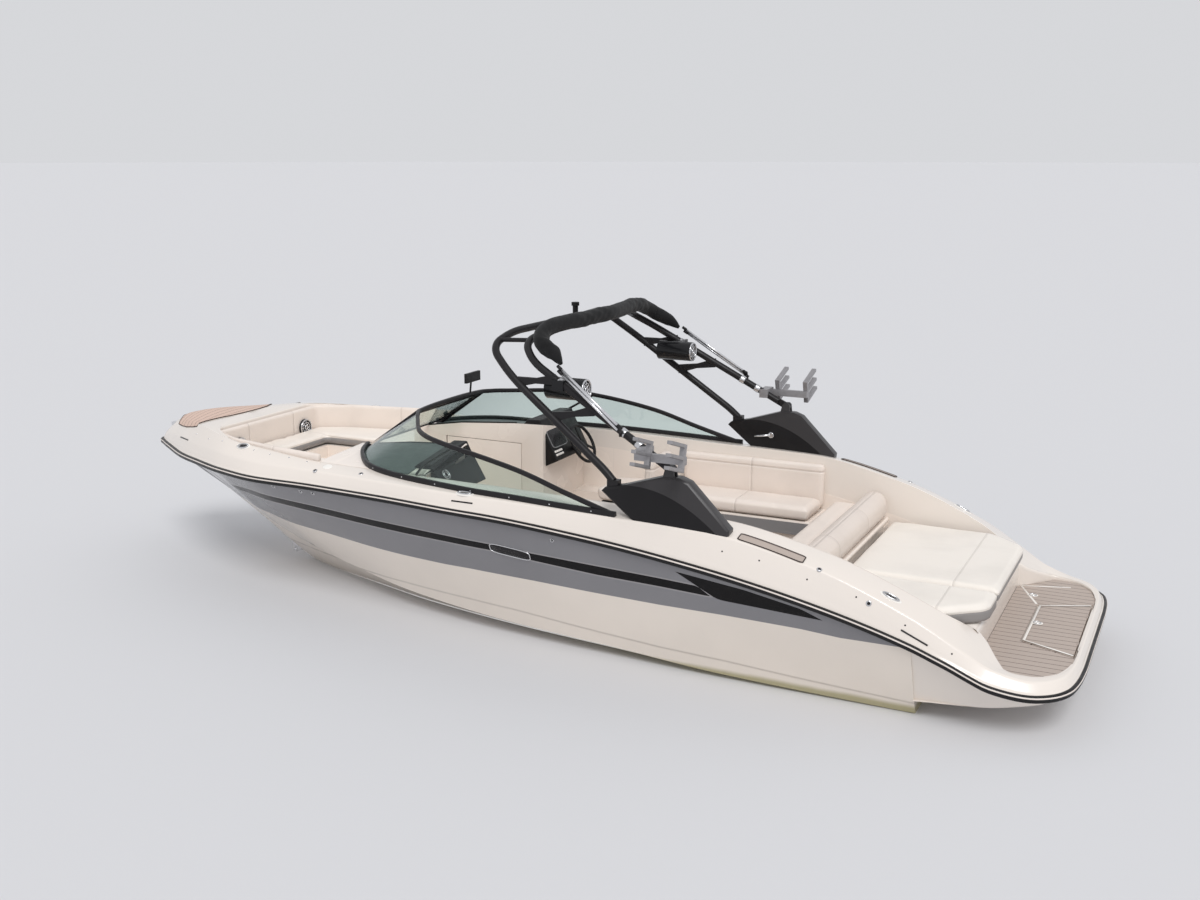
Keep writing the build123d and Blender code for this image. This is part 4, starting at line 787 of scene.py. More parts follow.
def build_deck():
    band = deck_band()
    piece = piece_of("deck_moulding", [facing(band)], "gelcoat_deck", outward=False)
    wall(piece, 0.008)
    print("deck band:", band.shape[0], "lines of", band.shape[1], "points")
    return piece


deck = build_deck()

# %% [markdown]
# Inside the band lie the flat parts: the aft deck under the sun pads with the engine hatch's opening,
# the transom wall, and the swim platform with its shallow tray for the mat and a locker. Each is a
# ring between two outlines, and both outlines are cut by the same set of rays from one middle point,
# so their points pair off without any search.

# %% Aft deck and platform


def ray_points(outline, middle, turns):
    """Where rays from a middle point cross a closed outline that has no hidden corners."""
    outline = np.asarray(outline, float) - middle
    ends = np.roll(outline, -1, axis=0)
    ray = np.stack([np.cos(turns), np.sin(turns)], axis=1)[:, None]
    edge = (ends - outline)[None]
    start = outline[None]
    cross = ray[..., 0] * edge[..., 1] - ray[..., 1] * edge[..., 0]
    cross = np.where(np.abs(cross) < 1e-12, 1e-12, cross)
    out = (start[..., 0] * edge[..., 1] - start[..., 1] * edge[..., 0]) / cross
    on_edge = (start[..., 0] * ray[..., 1] - start[..., 1] * ray[..., 0]) / cross
    good = (out > 0) & (on_edge >= -1e-9) & (on_edge <= 1 + 1e-9)
    distance = np.where(good, out, np.inf).min(axis=1)
    return middle + ray[:, 0] * distance[:, None]


def corner_turns(outlines, middle, count=160):
    """Ray directions: an even fan, and one through every corner of the outlines."""
    corners = np.concatenate([np.asarray(outline, float) for outline in outlines]) - middle
    exact = np.arctan2(corners[:, 1], corners[:, 0])
    turns = np.unique(np.round(np.concatenate([exact, np.linspace(-np.pi, np.pi, count)]), 7))
    return np.concatenate([turns[turns > -np.pi + 1e-6], [turns[turns > -np.pi + 1e-6][0] + 2 * np.pi]])


def ring_levels(levels, middle):
    """A stepped ring: each level is an outline and its height, all cut by the same rays."""
    turns = corner_turns([outline for outline, height in levels], middle)
    rows = [np.column_stack([ray_points(outline, middle, turns), np.full(len(turns), height)])
            for outline, height in levels]
    return np.stack(rows)


def both_halves(half):
    return half + [(x, -y) for x, y in reversed(half)]


def rectangle(x0, x1, y0, y1):
    return [(x0, y0), (x1, y0), (x1, y1), (x0, y1)]


def upright(profile, y):
    """A sheet across the boat: a profile of (x, height), carried along the given y values."""
    return np.stack([np.column_stack([np.full(len(y), x), y, np.full(len(y), z)]) for x, z in profile])


LOCKER_Z, LEDGE_Z, TRAY_Z = 0.285, 0.381, 0.405
LOCKER_MIDDLE = np.array([-4.36, 0.0])
TRANSOM_HALF = 0.965
SKIRT_POINTS = 70
bay = rectangle(-3.48, -2.83, -1.0, 0.4)
aft_plan = both_halves([(-3.905, 0.925), (-3.83, 1.005), (-3.70, 1.10), (-3.55, 1.132), (-2.75, 1.17)])
aft_deck = ring_levels([(bay, 0.56), (bay, 0.65), (aft_plan, 0.65), (aft_plan, 0.60)],
                       np.array([-3.155, -0.3]))
tray = both_halves([(-3.91, 0.95), (-4.195, 1.21), (-4.30, 1.2), (-4.42, 1.13), (-4.52, 1.0),
                    (-4.575, 0.8)])
hatch_hole = both_halves([(-4.16, 0.45), (-4.56, 0.64)])
locker_hole = both_halves([(-4.19, 0.402), (-4.53, 0.58)])
platform_floor = ring_levels([(locker_hole, LOCKER_Z), (locker_hole, LEDGE_Z), (hatch_hole, LEDGE_Z),
                              (hatch_hole, TRAY_Z), (tray, TRAY_Z)], np.array([-4.35, 0.0]))
locker_core = LOCKER_MIDDLE + 0.001 * np.array([(1, 1), (-1, 1), (-1, -1), (1, -1)])
locker_floor = ring_levels([(locker_core, LOCKER_Z), (locker_hole, LOCKER_Z)], LOCKER_MIDDLE)
transom = upright([(-3.86, 0.65), (-3.885, 0.649), (-3.91, 0.64), (-3.925, 0.62), (-3.932, 0.59),
                   (-3.934, 0.50), (-3.93, 0.42), (-3.93, 0.40)],
                  np.linspace(-TRANSOM_HALF, TRANSOM_HALF, 25))
cockpit_back = upright([(-2.75, 0.65), (-2.75, 0.52)], np.linspace(-1.17, 1.17, 9))
skirt_knots = np.concatenate([STERN_ROWS[:, 12:15], [[-3.55, 1.23, 0.14]]])
skirt_reach = np.linspace(0, REACH[len(STERN_ROWS)], SKIRT_POINTS)
skirt = np.stack([steady(skirt_reach, REACH[:len(skirt_knots)], skirt_knots[:, axis])
                  for axis in range(3)], axis=1)
stern_rail = full_loop("rail", skirt_reach)
under = np.column_stack([np.full(SKIRT_POINTS, -3.545), skirt[:, 1], np.full(SKIRT_POINTS, 0.14)])
stern_side = rounded([stern_rail, stern_rail * 0.5 + skirt * 0.5 + (0, 0, 0.01), skirt, under],
                     [0.06, 0.03], 6)
stern_pieces = [
    facing(aft_deck), facing(platform_floor), facing(locker_floor), facing(transom, (-1, 0, 0.2)),
    facing(cockpit_back, (1, 0, 0)), facing(stern_side, (-0.5, 1, -0.5)),
    facing(stern_side * (1, -1, 1), (-0.5, -1, -0.5)),
]
piece_of("aft_deck_and_platform", stern_pieces, "gelcoat_deck", outward=False)
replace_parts(deck, "deck")

# %% [markdown]
# The rub rail takes the knocks along the quay. It is a black extrusion with a thin pale insert. The
# profile is carried along the rail loop, and the way outwards at each point is square to the loop.

# %% Rub rail


def outward_of(loop):
    along = unit(np.gradient(loop, axis=0))
    return unit(np.stack([-along[:, 1], along[:, 0], np.zeros(len(loop))], axis=1)) * -1


def carried(loop, outward, profile):
    """A profile of (out, up) offsets carried along a loop."""
    return np.stack([loop + outward * out + (0, 0, up) for out, up in profile])


rail_loop = full_loop("rail", np.linspace(0, 2 * REACH[-1], 481))
rail_loop[-1] = rail_loop[0]
rail_out = outward_of(rail_loop)
if rail_out[120] @ (rail_loop[120] * (0, 1, 0)) < 0:
    rail_out = -rail_out
rail_out[0] = rail_out[-1] = (-1, 0, 0)
RUB_PROFILE = [(0, -0.032), (0.012, -0.031), (0.02, -0.027), (0.0235, -0.019), (0.0235, -0.0125),
               (0.0215, -0.0105), (0.0235, -0.0085), (0.0235, 0.0035), (0.0215, 0.0055),
               (0.0235, 0.0075), (0.0225, 0.0135), (0.018, 0.019), (0.01, 0.0225), (0, 0.0235),
               (-0.004, 0.0), (0, -0.032)]
rub = piece_of("rub_rail_extrusion", [carried(rail_loop, rail_out, RUB_PROFILE)], "rub_rail")
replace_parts(rub, "rub_rail")

INSERT_PROFILE = [(0.015, 0.0015), (0.0252, 0.0015), (0.0262, 0.004), (0.0262, 0.0095), (0.0248, 0.0125),
                  (0.015, 0.0125), (0.015, 0.0015)]
finishes["rail_insert"] = moulded_plastic("rail_insert", linear(226, 216, 208), 0.3, 0.05)
piece_of("rub_rail_inserts", [carried(rail_loop, rail_out, INSERT_PROFILE)], "rail_insert")

# %% [markdown]
# On the topsides sit a few small fittings: a bare name plate with a bright rim, and thimbles over the
# drains. Each is laid on the skin, so its points take their distance from the centre from the section.

# %% Name plate and thimbles
PLATE_AT = (-0.288, 0.860)
PLATE_HALF = (0.186, 0.041)
PLATE_SLOPE = 0.091
THIMBLES = [(2.19, 1.1), (1.868, 1.098), (1.725, 1.1), (-0.716, 1.035)]


def on_side(x, z, out=0.0):
    """Points on the port side of the hull's skin, by x and height, stood off by a little."""
    port = hull_section(np.asarray(x, float))[0][9:]
    y = [np.interp(height, port[:, place, 2], port[:, place, 1]) for place, height in enumerate(z)]
    return np.stack([x, np.asarray(y) + out, z], axis=1)


def side_disc(middle, half, slope, shares, lifts, power=1.0):
    """Rings about a spot on the side: a share of the outline's size each, at its own lift."""
    turn = np.linspace(0, 2 * np.pi, 49)
    across = np.sign(np.cos(turn)) * np.abs(np.cos(turn)) ** power
    rise = np.sign(np.sin(turn)) * np.abs(np.sin(turn)) ** power
    rings = []
    for share, lift in zip(shares, lifts):
        x = middle[0] + share * half[0] * across
        z = middle[1] + share * half[1] * rise + slope * (x - middle[0])
        rings.append(on_side(x, z, lift))
    return np.stack(rings)


finishes["plate"] = moulded_plastic("plate", linear(30, 28, 30), 0.2, 0.05)
finishes["stainless"] = bright_metal("stainless", linear(214, 214, 216), 0.14)
for side, name in ((1, "port"), (-1, "starboard")):
    flip = (1, side, 1)
    plate = side_disc(PLATE_AT, PLATE_HALF, PLATE_SLOPE, (0, 0.5, 0.95, 0.98),
                      (0.0045, 0.0045, 0.004, -0.002), 0.45)
    piece_of("name_plate_" + name, [plate * flip], "plate")
    rim = side_disc(PLATE_AT, PLATE_HALF, PLATE_SLOPE, (1.0,), (0.003,), 0.45)[0]
    piece_of("name_plate_rim_" + name, [bar(rim * flip, 0.0055, 10, (0, 1, 0), caps=False)],
             "stainless")
    rings = [side_disc(spot, (0.017, 0.017), 0, (0.55, 0.6, 0.8, 1.0, 1.05),
                       (-0.002, 0.004, 0.007, 0.004, -0.002)) * flip for spot in THIMBLES]
    piece_of("thimbles_" + name, rings, "stainless")
    # Painted shade: a dark disc in each thimble stands in for the shaded inside of the drain.
    hole_shades = [side_disc(spot, (0.017, 0.017), 0, (0, 0.6), (0.001, 0.001)) * flip for spot in THIMBLES]
    piece_of("drain_hole_shades_" + name, hole_shades, "plate")

# %% [markdown]
# The windshield wraps round both consoles. Its lower rail follows the deck, its upper rail climbs from
# the tips to a header over the walkway, and the two meet in a point with a gusset on either side. The
# panes are ruled between them, so they curve in one way only, as bent glass does.

# %% Windshield
SCREEN_ROWS = np.array([
    # foot x, y and z on the deck, then x, y and z of the upper rail
    (-1249, 1432, 1282, -1240, 1422, 1290), (-807, 1425, 1294, -790, 1400, 1417),
    (-387, 1410, 1306, -360, 1380, 1545), (23, 1394, 1314, 130, 1338, 1636),
    (453, 1342, 1322, 500, 1250, 1684), (891, 1263, 1332, 730, 1095, 1703),
    (1212, 1154, 1351, 850, 945, 1716), (1442, 939, 1372, 940, 810, 1730),
    (1560, 770, 1381, 1020, 690, 1742), (1640, 580, 1390, 1095, 560, 1750),
]) / 1000
HEADER = np.array([(1.104, 0.4, 1.757), (1.109, 0.2, 1.761), (1.11, 0.0, 1.762)])
MIRROR = np.array([1, -1, 1])
GUSSET_END = -1.09
screen_reach = np.concatenate([[0], np.cumsum(np.linalg.norm(np.diff(SCREEN_ROWS[:, :3], axis=0), axis=1))])
screen_where = np.linspace(0, screen_reach[-1], 97)
screen = np.stack([steady(screen_where, screen_reach, SCREEN_ROWS[:, column])
                   for column in range(6)], axis=1)
foot_line, top_line = screen[:, :3], screen[:, 3:]
header_half = curve_through(np.concatenate([top_line[-1:], HEADER]), 14)[1:]
half_rail = np.concatenate([top_line, header_half])
upper_rail = np.concatenate([half_rail, half_rail[-2::-1] * MIRROR])
rails = [bar(upper_rail, 0.0195, 20, squash=0.9, corner=0.62)]
posts = []
for flip in (np.ones(3), MIRROR):
    rails.append(bar((foot_line + (0, 0, 0.016)) * flip, 0.025, 20, squash=0.72, corner=0.5))
    post = np.array([foot_line[-1] + (0, 0, -0.02), top_line[-1]])
    posts.append(bar(post * flip, 0.018, 16, (0, 1, 0), corner=0.6))
    stay = np.array([(0.72, 1.19, 1.352), (0.6, 1.26, 1.46), (0.278, 1.303, 1.652)])
    posts.append(bar(stay * flip, 0.011, 12))
    posts.append(bar(np.array([(1.092, 0.776, 1.41), (1.092, 0.776, 1.668)]) * flip, 0.006, 10))
screen_frame = piece_of("windshield_rails", rails + posts, "black_metal")
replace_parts(settle(screen_frame, 50), "windshield_frame")

tip = int(np.searchsorted(foot_line[:, 0], GUSSET_END))
shares = np.linspace(0.01, 0.99, 9)[:, None, None]
sheet = foot_line * (1 - shares) + top_line * shares
glass = [sheet[:, tip:], sheet[:, tip:] * MIRROR]
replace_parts(wall(piece_of("windshield_panes", glass, "tinted_glass", outward=False), 0.005),
            "windshield_glass")
gusset = [sheet[:, :tip + 1], sheet[:, :tip + 1] * MIRROR]
wall(piece_of("windshield_gussets", gusset, "black_metal", outward=False), 0.008)


def studs(spots, ways, radius, tall, steps=20):
    """Small domed buttons: one grid of rings each, at a spot and square to a way."""
    turn = np.linspace(0, 2 * np.pi, steps + 1)[None, :, None]
    grids = []
    for spot, way in zip(np.asarray(spots, float), np.asarray(ways, float)):
        way = unit(way)
        side = unit(np.cross(way, (0.31, 0.22, 0.92)))
        third = np.cross(way, side)
        rings = [(0.0, 1.0), (0.5, 0.9), (0.85, 0.6), (1.0, 0.0), (1.0, -0.6)]
        out = np.array([ring[0] for ring in rings])[:, None, None] * radius
        up = np.array([ring[1] for ring in rings])[:, None, None] * tall
        grids.append(spot + out * (np.cos(turn) * side + np.sin(turn) * third) + up * way)
    return grids


screws = foot_line[6:94:11] + (0, 0, 0.019)
screw_ways = np.gradient(foot_line, axis=0)[6:94:11][:, [1, 0, 2]] * (-1, 1, 0)
screw_ways = np.where((screw_ways @ [0.2, 1, 0])[:, None] < 0, -screw_ways, screw_ways)
screw_spots = screws + unit(screw_ways) * 0.018
piece_of("windshield_screws", studs(screw_spots, screw_ways, 0.006, 0.002)
         + studs(screw_spots * MIRROR, screw_ways * MIRROR, 0.006, 0.002), "stainless")

# %% [markdown]
# Many small things sit on the deck: mooring cleats, caps, vents, snap studs and inlaid mats. The deck's
# height is known at any place from the same lines that made it, so each of them is given by its place
# in plan alone, and stands square to the deck there.

# %% Height of the deck
PORT = {name: full_loop(name, np.linspace(0, REACH[-1], 801)) for name in ("rail", "edge", "coaming")}
SLOPE_STEP = 0.004
MAT_POINTS = 41
RIM_SUNK = 0.003


def deck_height(x, y):
    """Up from the rail to the deck edge, across to the coaming, and over the crown at the bow."""
    y = np.abs(y)
    (ry, rz), (ey, ez), (cy, cz) = [[np.interp(x, loop[:, 0], loop[:, axis]) for axis in (1, 2)]
                                    for loop in PORT.values()]
    steep = ez + (rz - ez) * (y - ey) / np.maximum(ry - ey, 1e-3)
    side = cz + (ez - cz) * (y - cy) / np.maximum(ey - cy, 1e-3)
    crown = hull_line(x, 12)
    arch = crown + (cz - crown) * (y / np.maximum(cy, 1e-3)) ** 2
    inner = np.where(np.asarray(x) > 3.1, arch, cz)
    return np.where(y > ey, steep, np.where(y > cy, side, inner))


def deck_spot(x, y, lift=0.0):
    """A place on the deck, and the way square to it."""
    lean_x = (deck_height(x + SLOPE_STEP, y) - deck_height(x - SLOPE_STEP, y)) / (2 * SLOPE_STEP)
    lean_y = (deck_height(x, y + SLOPE_STEP) - deck_height(x, y - SLOPE_STEP)) / (2 * SLOPE_STEP)
    way = unit(np.array([-lean_x, -lean_y, 1.0]))
    return np.array([x, y, deck_height(x, y)]) + way * lift, way


def circle(middle, way, radius, along=(0, 0, 1), wide=1.0, steps=33):
    """Points round an ellipse about a spot, square to a way."""
    way = unit(np.asarray(way, float))
    side = unit(np.asarray(along, float) - way * (np.asarray(along, float) @ way))
    third = np.cross(way, side)
    turn = np.linspace(0, 2 * np.pi, steps)[:, None]
    return middle + radius * (np.cos(turn) * side + wide * np.sin(turn) * third)


def button(middle, way, radius, rings, along=(1, 0, 0), wide=1.0):
    """A flat round or oval thing: rings given by their share of the radius and their lift."""
    way = unit(np.asarray(way, float))
    return np.stack([circle(middle, way, max(share, 1e-4) * radius, along, wide) + way * lift
                     for share, lift in rings])


def spread(line, count):
    """A line of points in plan, filled up to a count of points between its own."""
    where = np.linspace(0, len(line) - 1, count)
    return np.stack([np.interp(where, np.arange(len(line)), part) for part in np.array(line, float).T],
                    axis=1)


def laid(name, inner, outer, height, thick, finish, lines=5, body="root"):
    """A mat ruled between two lines in plan, with its top and rim over a surface of known height."""
    inner, outer = [spread(line, MAT_POINTS) for line in (inner, outer)]
    share = np.linspace(0, 1, lines)[:, None, None]
    plan = inner * (1 - share) + outer * share
    top = np.dstack([plan, height(plan[..., 0], plan[..., 1]) + thick])
    grid = np.pad(top, ((1, 1), (1, 1), (0, 0)), mode="edge")
    grid[[0, -1], :, 2] -= thick + RIM_SUNK
    grid[:, [0, -1], 2] = np.minimum(grid[:, [0, -1], 2], grid[:, [1, -2], 2] - thick - RIM_SUNK)
    rim = np.concatenate([top[0], top[1:, -1], top[-1, -2::-1], top[-2::-1, 0]])
    return settle(piece_of(name, [grid], finish, body), 35), rim


# %% [markdown]
# Planked pads lie on the foredeck, and a short mat lies on each side deck behind the tower. All of them
# have a dark rim.

# %% Deck mats
TEAK_INNER = [(3.676, 0.567), (3.60, 0.45), (3.50, 0.28), (3.465, 0.12), (3.458, 0)]
TEAK_OUTER = [(3.80, 0.50), (3.95, 0.415), (4.10, 0.315), (4.25, 0.205), (4.335, 0)]
STEP_INNER = [(3.64, -0.60), (3.42, -0.712)]
STEP_OUTER = [(3.74, -0.585), (3.47, -0.755)]
GUNWALE_INNER = [(-2.74, 1.352), (-2.72, 1.345), (-2.26, 1.345), (-2.24, 1.352)]
GUNWALE_OUTER = [(-2.74, 1.43), (-2.72, 1.438), (-2.26, 1.438), (-2.24, 1.43)]


def both_ways(line):
    return line + [(x, -y) for x, y in line[-2::-1]]


finishes["mat_edge"] = moulded_plastic("mat_edge", linear(58, 50, 48), 0.6, 0.1)
pads = [laid("bow_teak_pad", both_ways(TEAK_INNER), both_ways(TEAK_OUTER), deck_height, 0.006, "bow_teak",
             25),
        laid("bow_teak_step", STEP_INNER, STEP_OUTER, deck_height, 0.006, "bow_teak")]
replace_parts(pads[0][0], "bow_pads")
rims = [rim for piece, rim in pads]
for side, name in ((1, "port"), (-1, "starboard")):
    inner, outer = [[(x, side * y) for x, y in line] for line in (GUNWALE_INNER, GUNWALE_OUTER)]
    mat, rim = laid("gunwale_mat_" + name, inner, outer, deck_height, 0.005, "deck_mat")
    rims.append(rim)
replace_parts(mat, "gunwale_mats")
piece_of("deck_mat_edges", [bar(rim, 0.0042, 8, caps=False) for rim in rims], "mat_edge")
print("mats on the deck:", len(rims))

# %% [markdown]
# The small fittings stand in rows along the deck, the same on both sides: cleats in pale oval bezels,
# round caps, a filler cap, rivets, snap studs and thin black vents.

# %% Deck fittings
CLEATS = [(-3.362, 1.318), (0.10, 1.425), (2.70, 1.035)]
CAPS = [(-3.236, 1.440), (-2.864, 1.425), (1.218, 1.284), (1.690, 1.300)]
FILLER = (1.612, 1.225)
RIVETS = [(-2.785, 1.458), (-3.145, 1.443), (-3.499, 1.433), (-3.829, 1.411), (-2.136, 1.471),
          (-2.422, 1.464)]
SNAPS = [(3.607, 0.648), (3.301, 0.820), (3.035, 0.935), (2.786, 1.024), (2.542, 1.079), (2.322, 1.125),
         (2.089, 1.150), (1.867, 1.182)]
VENTS = [((-3.475, 1.444), (-3.664, 1.437)), ((0.20, 1.468), (0.0, 1.472)), ((3.99, 0.465), (3.76, 0.61))]
BEZEL = [(1.03, -0.006), (1.0, 0.002), (0.93, 0.0045), (0.6, 0.0045), (0, 0.0045)]


def domes(places, side, radius, tall):
    """A small dome at each of some places on the deck, on one side of the boat."""
    spots, ways = zip(*[deck_spot(x, side * y) for x, y in places])
    return studs(spots, ways, radius, tall)


for side, name in ((1, "port"), (-1, "starboard")):
    pale, chrome, dark = [], [], []
    for x, y in CLEATS:
        spot, way = deck_spot(x, side * y)
        pale.append(button(spot, way, 0.085, BEZEL, wide=0.42))
        loop = circle(spot + way * 0.009, way, 0.062, (1, 0, 0), 0.36)
        chrome.append(bar(loop, 0.0062, 10, caps=False))
        dark.append(button(spot, way, 0.05, [(1.0, 0.0052), (0, 0.0056)], wide=0.3))
    for x, y in CAPS:
        spot, way = deck_spot(x, side * y)
        chrome.append(button(spot, way, 0.021, BEZEL))
        dark.append(button(spot, way, 0.012, [(1.0, 0.005), (0.9, 0.0065), (0, 0.0065)]))
    spot, way = deck_spot(FILLER[0], side * FILLER[1])
    pale.append(button(spot, way, 0.048, BEZEL, wide=0.75))
    dark += domes(RIVETS, side, 0.0065, 0.003)
    chrome += domes(SNAPS, side, 0.0075, 0.005)
    dark += [bar([deck_spot(x, side * y)[0] for x, y in ends], 0.0065, 10) for ends in VENTS]
    settle(piece_of("fitting_bezels_" + name, pale, "accent"), 40)
    bright = piece_of("fitting_chrome_" + name, chrome, "stainless")
    settle(piece_of("fitting_black_" + name, dark, "plate"), 40)
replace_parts(bright, "cleats")
print("fittings on each side:", len(pale), len(chrome), len(dark))

# %% [markdown]
# The tops of the consoles are padded in dark grey under the glass, so they don't mirror in it. Their
# surface falls from the walkway to the coaming in one plane at each station. In the seats' bases there
# are inlaid panels of a middle grey.

# %% Console tops and grey panels
COWL = [(0.33, 1.525), (0.63, 1.515), (1.22, 1.468), (1.60, 1.408), (1.76, 1.398)]
WALKWAY = 0.35
PAD_FORE, PAD_STATIONS = 1.60, 12


def cowl_height(x, y):
    """The console's top, in one plane at each station from the walkway out to the coaming."""
    inner = np.interp(x, *np.array(COWL).T)
    share = np.clip((np.abs(y) - WALKWAY) / (hull_line(x, 10) - WALKWAY), 0, 1)
    return inner + share * (hull_line(x, 11) - inner)


for side, name, aft, inboard in ((1, "port", 0.80, 0.52), (-1, "starboard", 0.62, 0.37)):
    x = np.linspace(aft, PAD_FORE, PAD_STATIONS)
    outboard = np.interp(x, foot_line[:, 0], foot_line[:, 1]) - 0.02
    outboard = np.minimum(outboard, hull_line(x, 10) - 0.004)
    inner = [(a, side * inboard) for a in x]
    outer = [(a, side * b) for a, b in zip(x, outboard)]
    pad, rim = laid("console_pad_" + name, inner, outer, cowl_height, 0.006, "dash_pad",
                    13)
    piece_of("console_gasket_" + name, [bar(rim[:MAT_POINTS], 0.008, 10)], "black_plastic")

GREY_BANDS = [[(-2.16, -0.637), (-0.76, -0.637)], [(0.055, 0.637), (-2.16, 0.637)],
              [(-2.247, 0.63), (-2.247, -0.63)]]
GREY_BAND_Z = (0.69, 0.80)
bands = [np.stack([np.column_stack([np.array(line), np.full(len(line), z)]) for z in GREY_BAND_Z])
         for line in GREY_BANDS]
wall(piece_of("grey_bands", bands, "grey_panel", outward=False), 0.003)

# %% [markdown]
# On the tower hangs the stowed canopy. Its cover is a long bag of canvas, tapered to a point at either
# end and creased where it is strapped down, and pairs of bright tubes run down from it. Each speaker is
# a can with a bright grille that looks aft.

# %% Canopy cover, its tubes and the speakers
BOOT_LINE = [(-0.672, 1.206, 2.392), (-0.60, 1.172, 2.452), (-0.45, 1.112, 2.54), (-0.405, 0.98, 2.606),
             (-0.412, 0.84, 2.634), (-0.46, 0.4, 2.645), (-0.50, 0.0, 2.646)]
BOOT_RADIUS = ([0, 0.05, 0.12, 0.22, 3.0], [0.014, 0.034, 0.055, 0.064, 0.064])
FOLDS = [(0.0036, 9, 1, 0.0), (0.0026, 17, -2, 1.3), (0.0014, 41, 3, 0.4), (0.0010, 73, -4, 2.2)]


def boot_grid():
    """A bag along a line: a round section whose creases are four waves along it and around it."""
    line = curve_through(BOOT_LINE + [(x, -y, z) for x, y, z in BOOT_LINE[-2::-1]], 181)
    reach = np.concatenate([[0], np.cumsum(np.linalg.norm(np.diff(line, axis=0), axis=1))])
    to_end = np.minimum(reach, reach[-1] - reach)
    grid = bar(line, np.interp(to_end, *BOOT_RADIUS), 48, caps=False)
    turn = np.linspace(0, 2 * np.pi, 49)[:, None]
    crease = sum(tall * np.sin(rate * reach + around * turn + start) for tall, rate, around, start in FOLDS)
    crease = crease * np.interp(to_end, [0, 0.12], [0.2, 1.0]) * (0.75 + 0.45 * np.sin(6.1 * reach + 0.8))
    grid = grid + unit(grid - line[None]) * crease[..., None]
    ends = [np.broadcast_to(line[i], grid[:, :1].shape) for i in (0, -1)]
    return np.concatenate([ends[0], grid, ends[1]], axis=1)


boot = piece_of("canopy_cover", [boot_grid()], "canvas", "tower")
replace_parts(boot, "canopy_boot")

ARM_TUBES = [((-1.285, 1.423, 1.940), (-0.700, 1.289, 2.345)),
             ((-1.275, 1.408, 1.975), (-0.690, 1.279, 2.380))]
LEG = np.array([(-1.69, 1.395, 1.69), (-0.42, 1.205, 2.395)])
COLLARS = (0.22, 0.33, 0.79)
TOWER_SPEAKER = np.array([-0.847, 1.12, 2.185])


def on_leg(share):
    """A place on the tower's aft leg, as a share of its length."""
    return LEG[0] + (LEG[1] - LEG[0]) * share


def collar(share, radius, half):
    """A clamp round the aft leg, rolled at both rims."""
    steps = np.array([-1, -0.94, -0.8, 0.8, 0.94, 1]) * half
    line = on_leg(share) + unit(LEG[1] - LEG[0]) * steps[:, None]
    return bar(line, radius * np.array([0.9, 0.97, 1, 1, 0.97, 0.9]), 28)


def speaker_face(middle):
    """A bright rim, a hub and spokes, in front of a dark cone."""
    way = np.array([-1.0, 0, 0])
    rims = [bar(circle(middle + way * 0.002, way, radius), tube, 10, (1, 0, 0), caps=False)
            for radius, tube in ((0.080, 0.0075), (0.052, 0.004), (0.020, 0.008))]
    spokes = circle(middle + way * 0.003, way, 1.0, steps=9)[:-1] - middle
    rims += [bar([middle + spoke * 0.015, middle + spoke * 0.078], 0.004, 8, (1, 0, 0))
             for spoke in spokes * (0, 1, 1)]
    return rims


tubes, bolts, rings, faces = [], [], [], []
for flip in (np.ones(3), MIRROR):
    for low, high in ARM_TUBES:
        low, high = np.array(low) * flip, np.array(high) * flip
        tubes.append(bar(np.array([low, high]), 0.0115, 16))
        step = unit(high - low) * 0.05
        bolts += [bar(np.array([end - step * 0.3, end + step * 0.6]), 0.0135, 12)
                  for end in (low, high - step * 0.3)]
    ends = np.array([ARM_TUBES[0][0], ARM_TUBES[1][0]]) * flip
    middle = ends.mean(axis=0)
    yoke = np.array([ends[0] - (0, 0, 0.03), middle, ends[1] + (0, 0, 0.01)])
    bolts.append(bar(yoke, 0.012, 12, (1, 0, 0)))
    bolts.append(bar(np.array([middle, on_leg(COLLARS[1]) * flip]), 0.010, 12))
    rings += [collar(share, 0.0365, 0.024) * flip for share in COLLARS]
    faces += speaker_face(TOWER_SPEAKER * flip)
arms = piece_of("canopy_tubes", tubes, "bright_tube", "tower")
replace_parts(arms, "canopy_arms")
piece_of("canopy_tube_ends", bolts, "black_metal", "tower")
piece_of("tower_collars", rings, "stainless", "tower")
piece_of("speaker_faces", faces, "stainless", "tower")

# %% [markdown]
# Thin pale lines are inlaid in the platform's mat. Two pull rings lie in pale plates, one on the hatch,
# which rides with it, and one on the mat beside it.

# %% Lines and rings on the swim platform
ACCENT_HATCH = [(-4.552, -0.602), (-4.178, -0.428), (-4.178, 0.428), (-4.552, 0.602)]
ACCENT_DECK = [(-4.145, -0.475), (-3.958, -0.905), (-4.345, -1.03)]
MAT_TOP, HATCH_TOP = 0.417, 0.423


def strip(points, z):
    """A flat inlaid line, a little proud of the mat."""
    points = [np.array([x, y, z]) for x, y in points]
    return [bar(np.array(pair), 0.0024, 8, squash=4.0) for pair in zip(points, points[1:])]


piece_of("platform_lines", strip(ACCENT_DECK, MAT_TOP), "accent")
piece_of("hatch_lines", strip(ACCENT_HATCH, HATCH_TOP), "accent", "platform_hatch")
for body, x, y, z in (("platform_hatch", -4.215, 0.0, HATCH_TOP), ("root", -4.085, -0.69, MAT_TOP)):
    ring = bar(circle(np.array([x, y, z + 0.003]), (0, 0, 1), 0.028, (1, 0, 0)), 0.0045, 10, caps=False)
    piece_of("pull_ring_" + body, [ring], "stainless", body)
    plate = button(np.array([x, y, z]), (0, 0, 1), 0.045, [(1.0, -0.002), (0.96, 0.0022), (0, 0.0022)],
                   wide=0.8)
    settle(piece_of("pull_plate_" + body, [plate], "accent", body), 40)

# %% [markdown]
# A bright latch sits on the inner side of each fairing: a short bent bar with a round boss at its end.

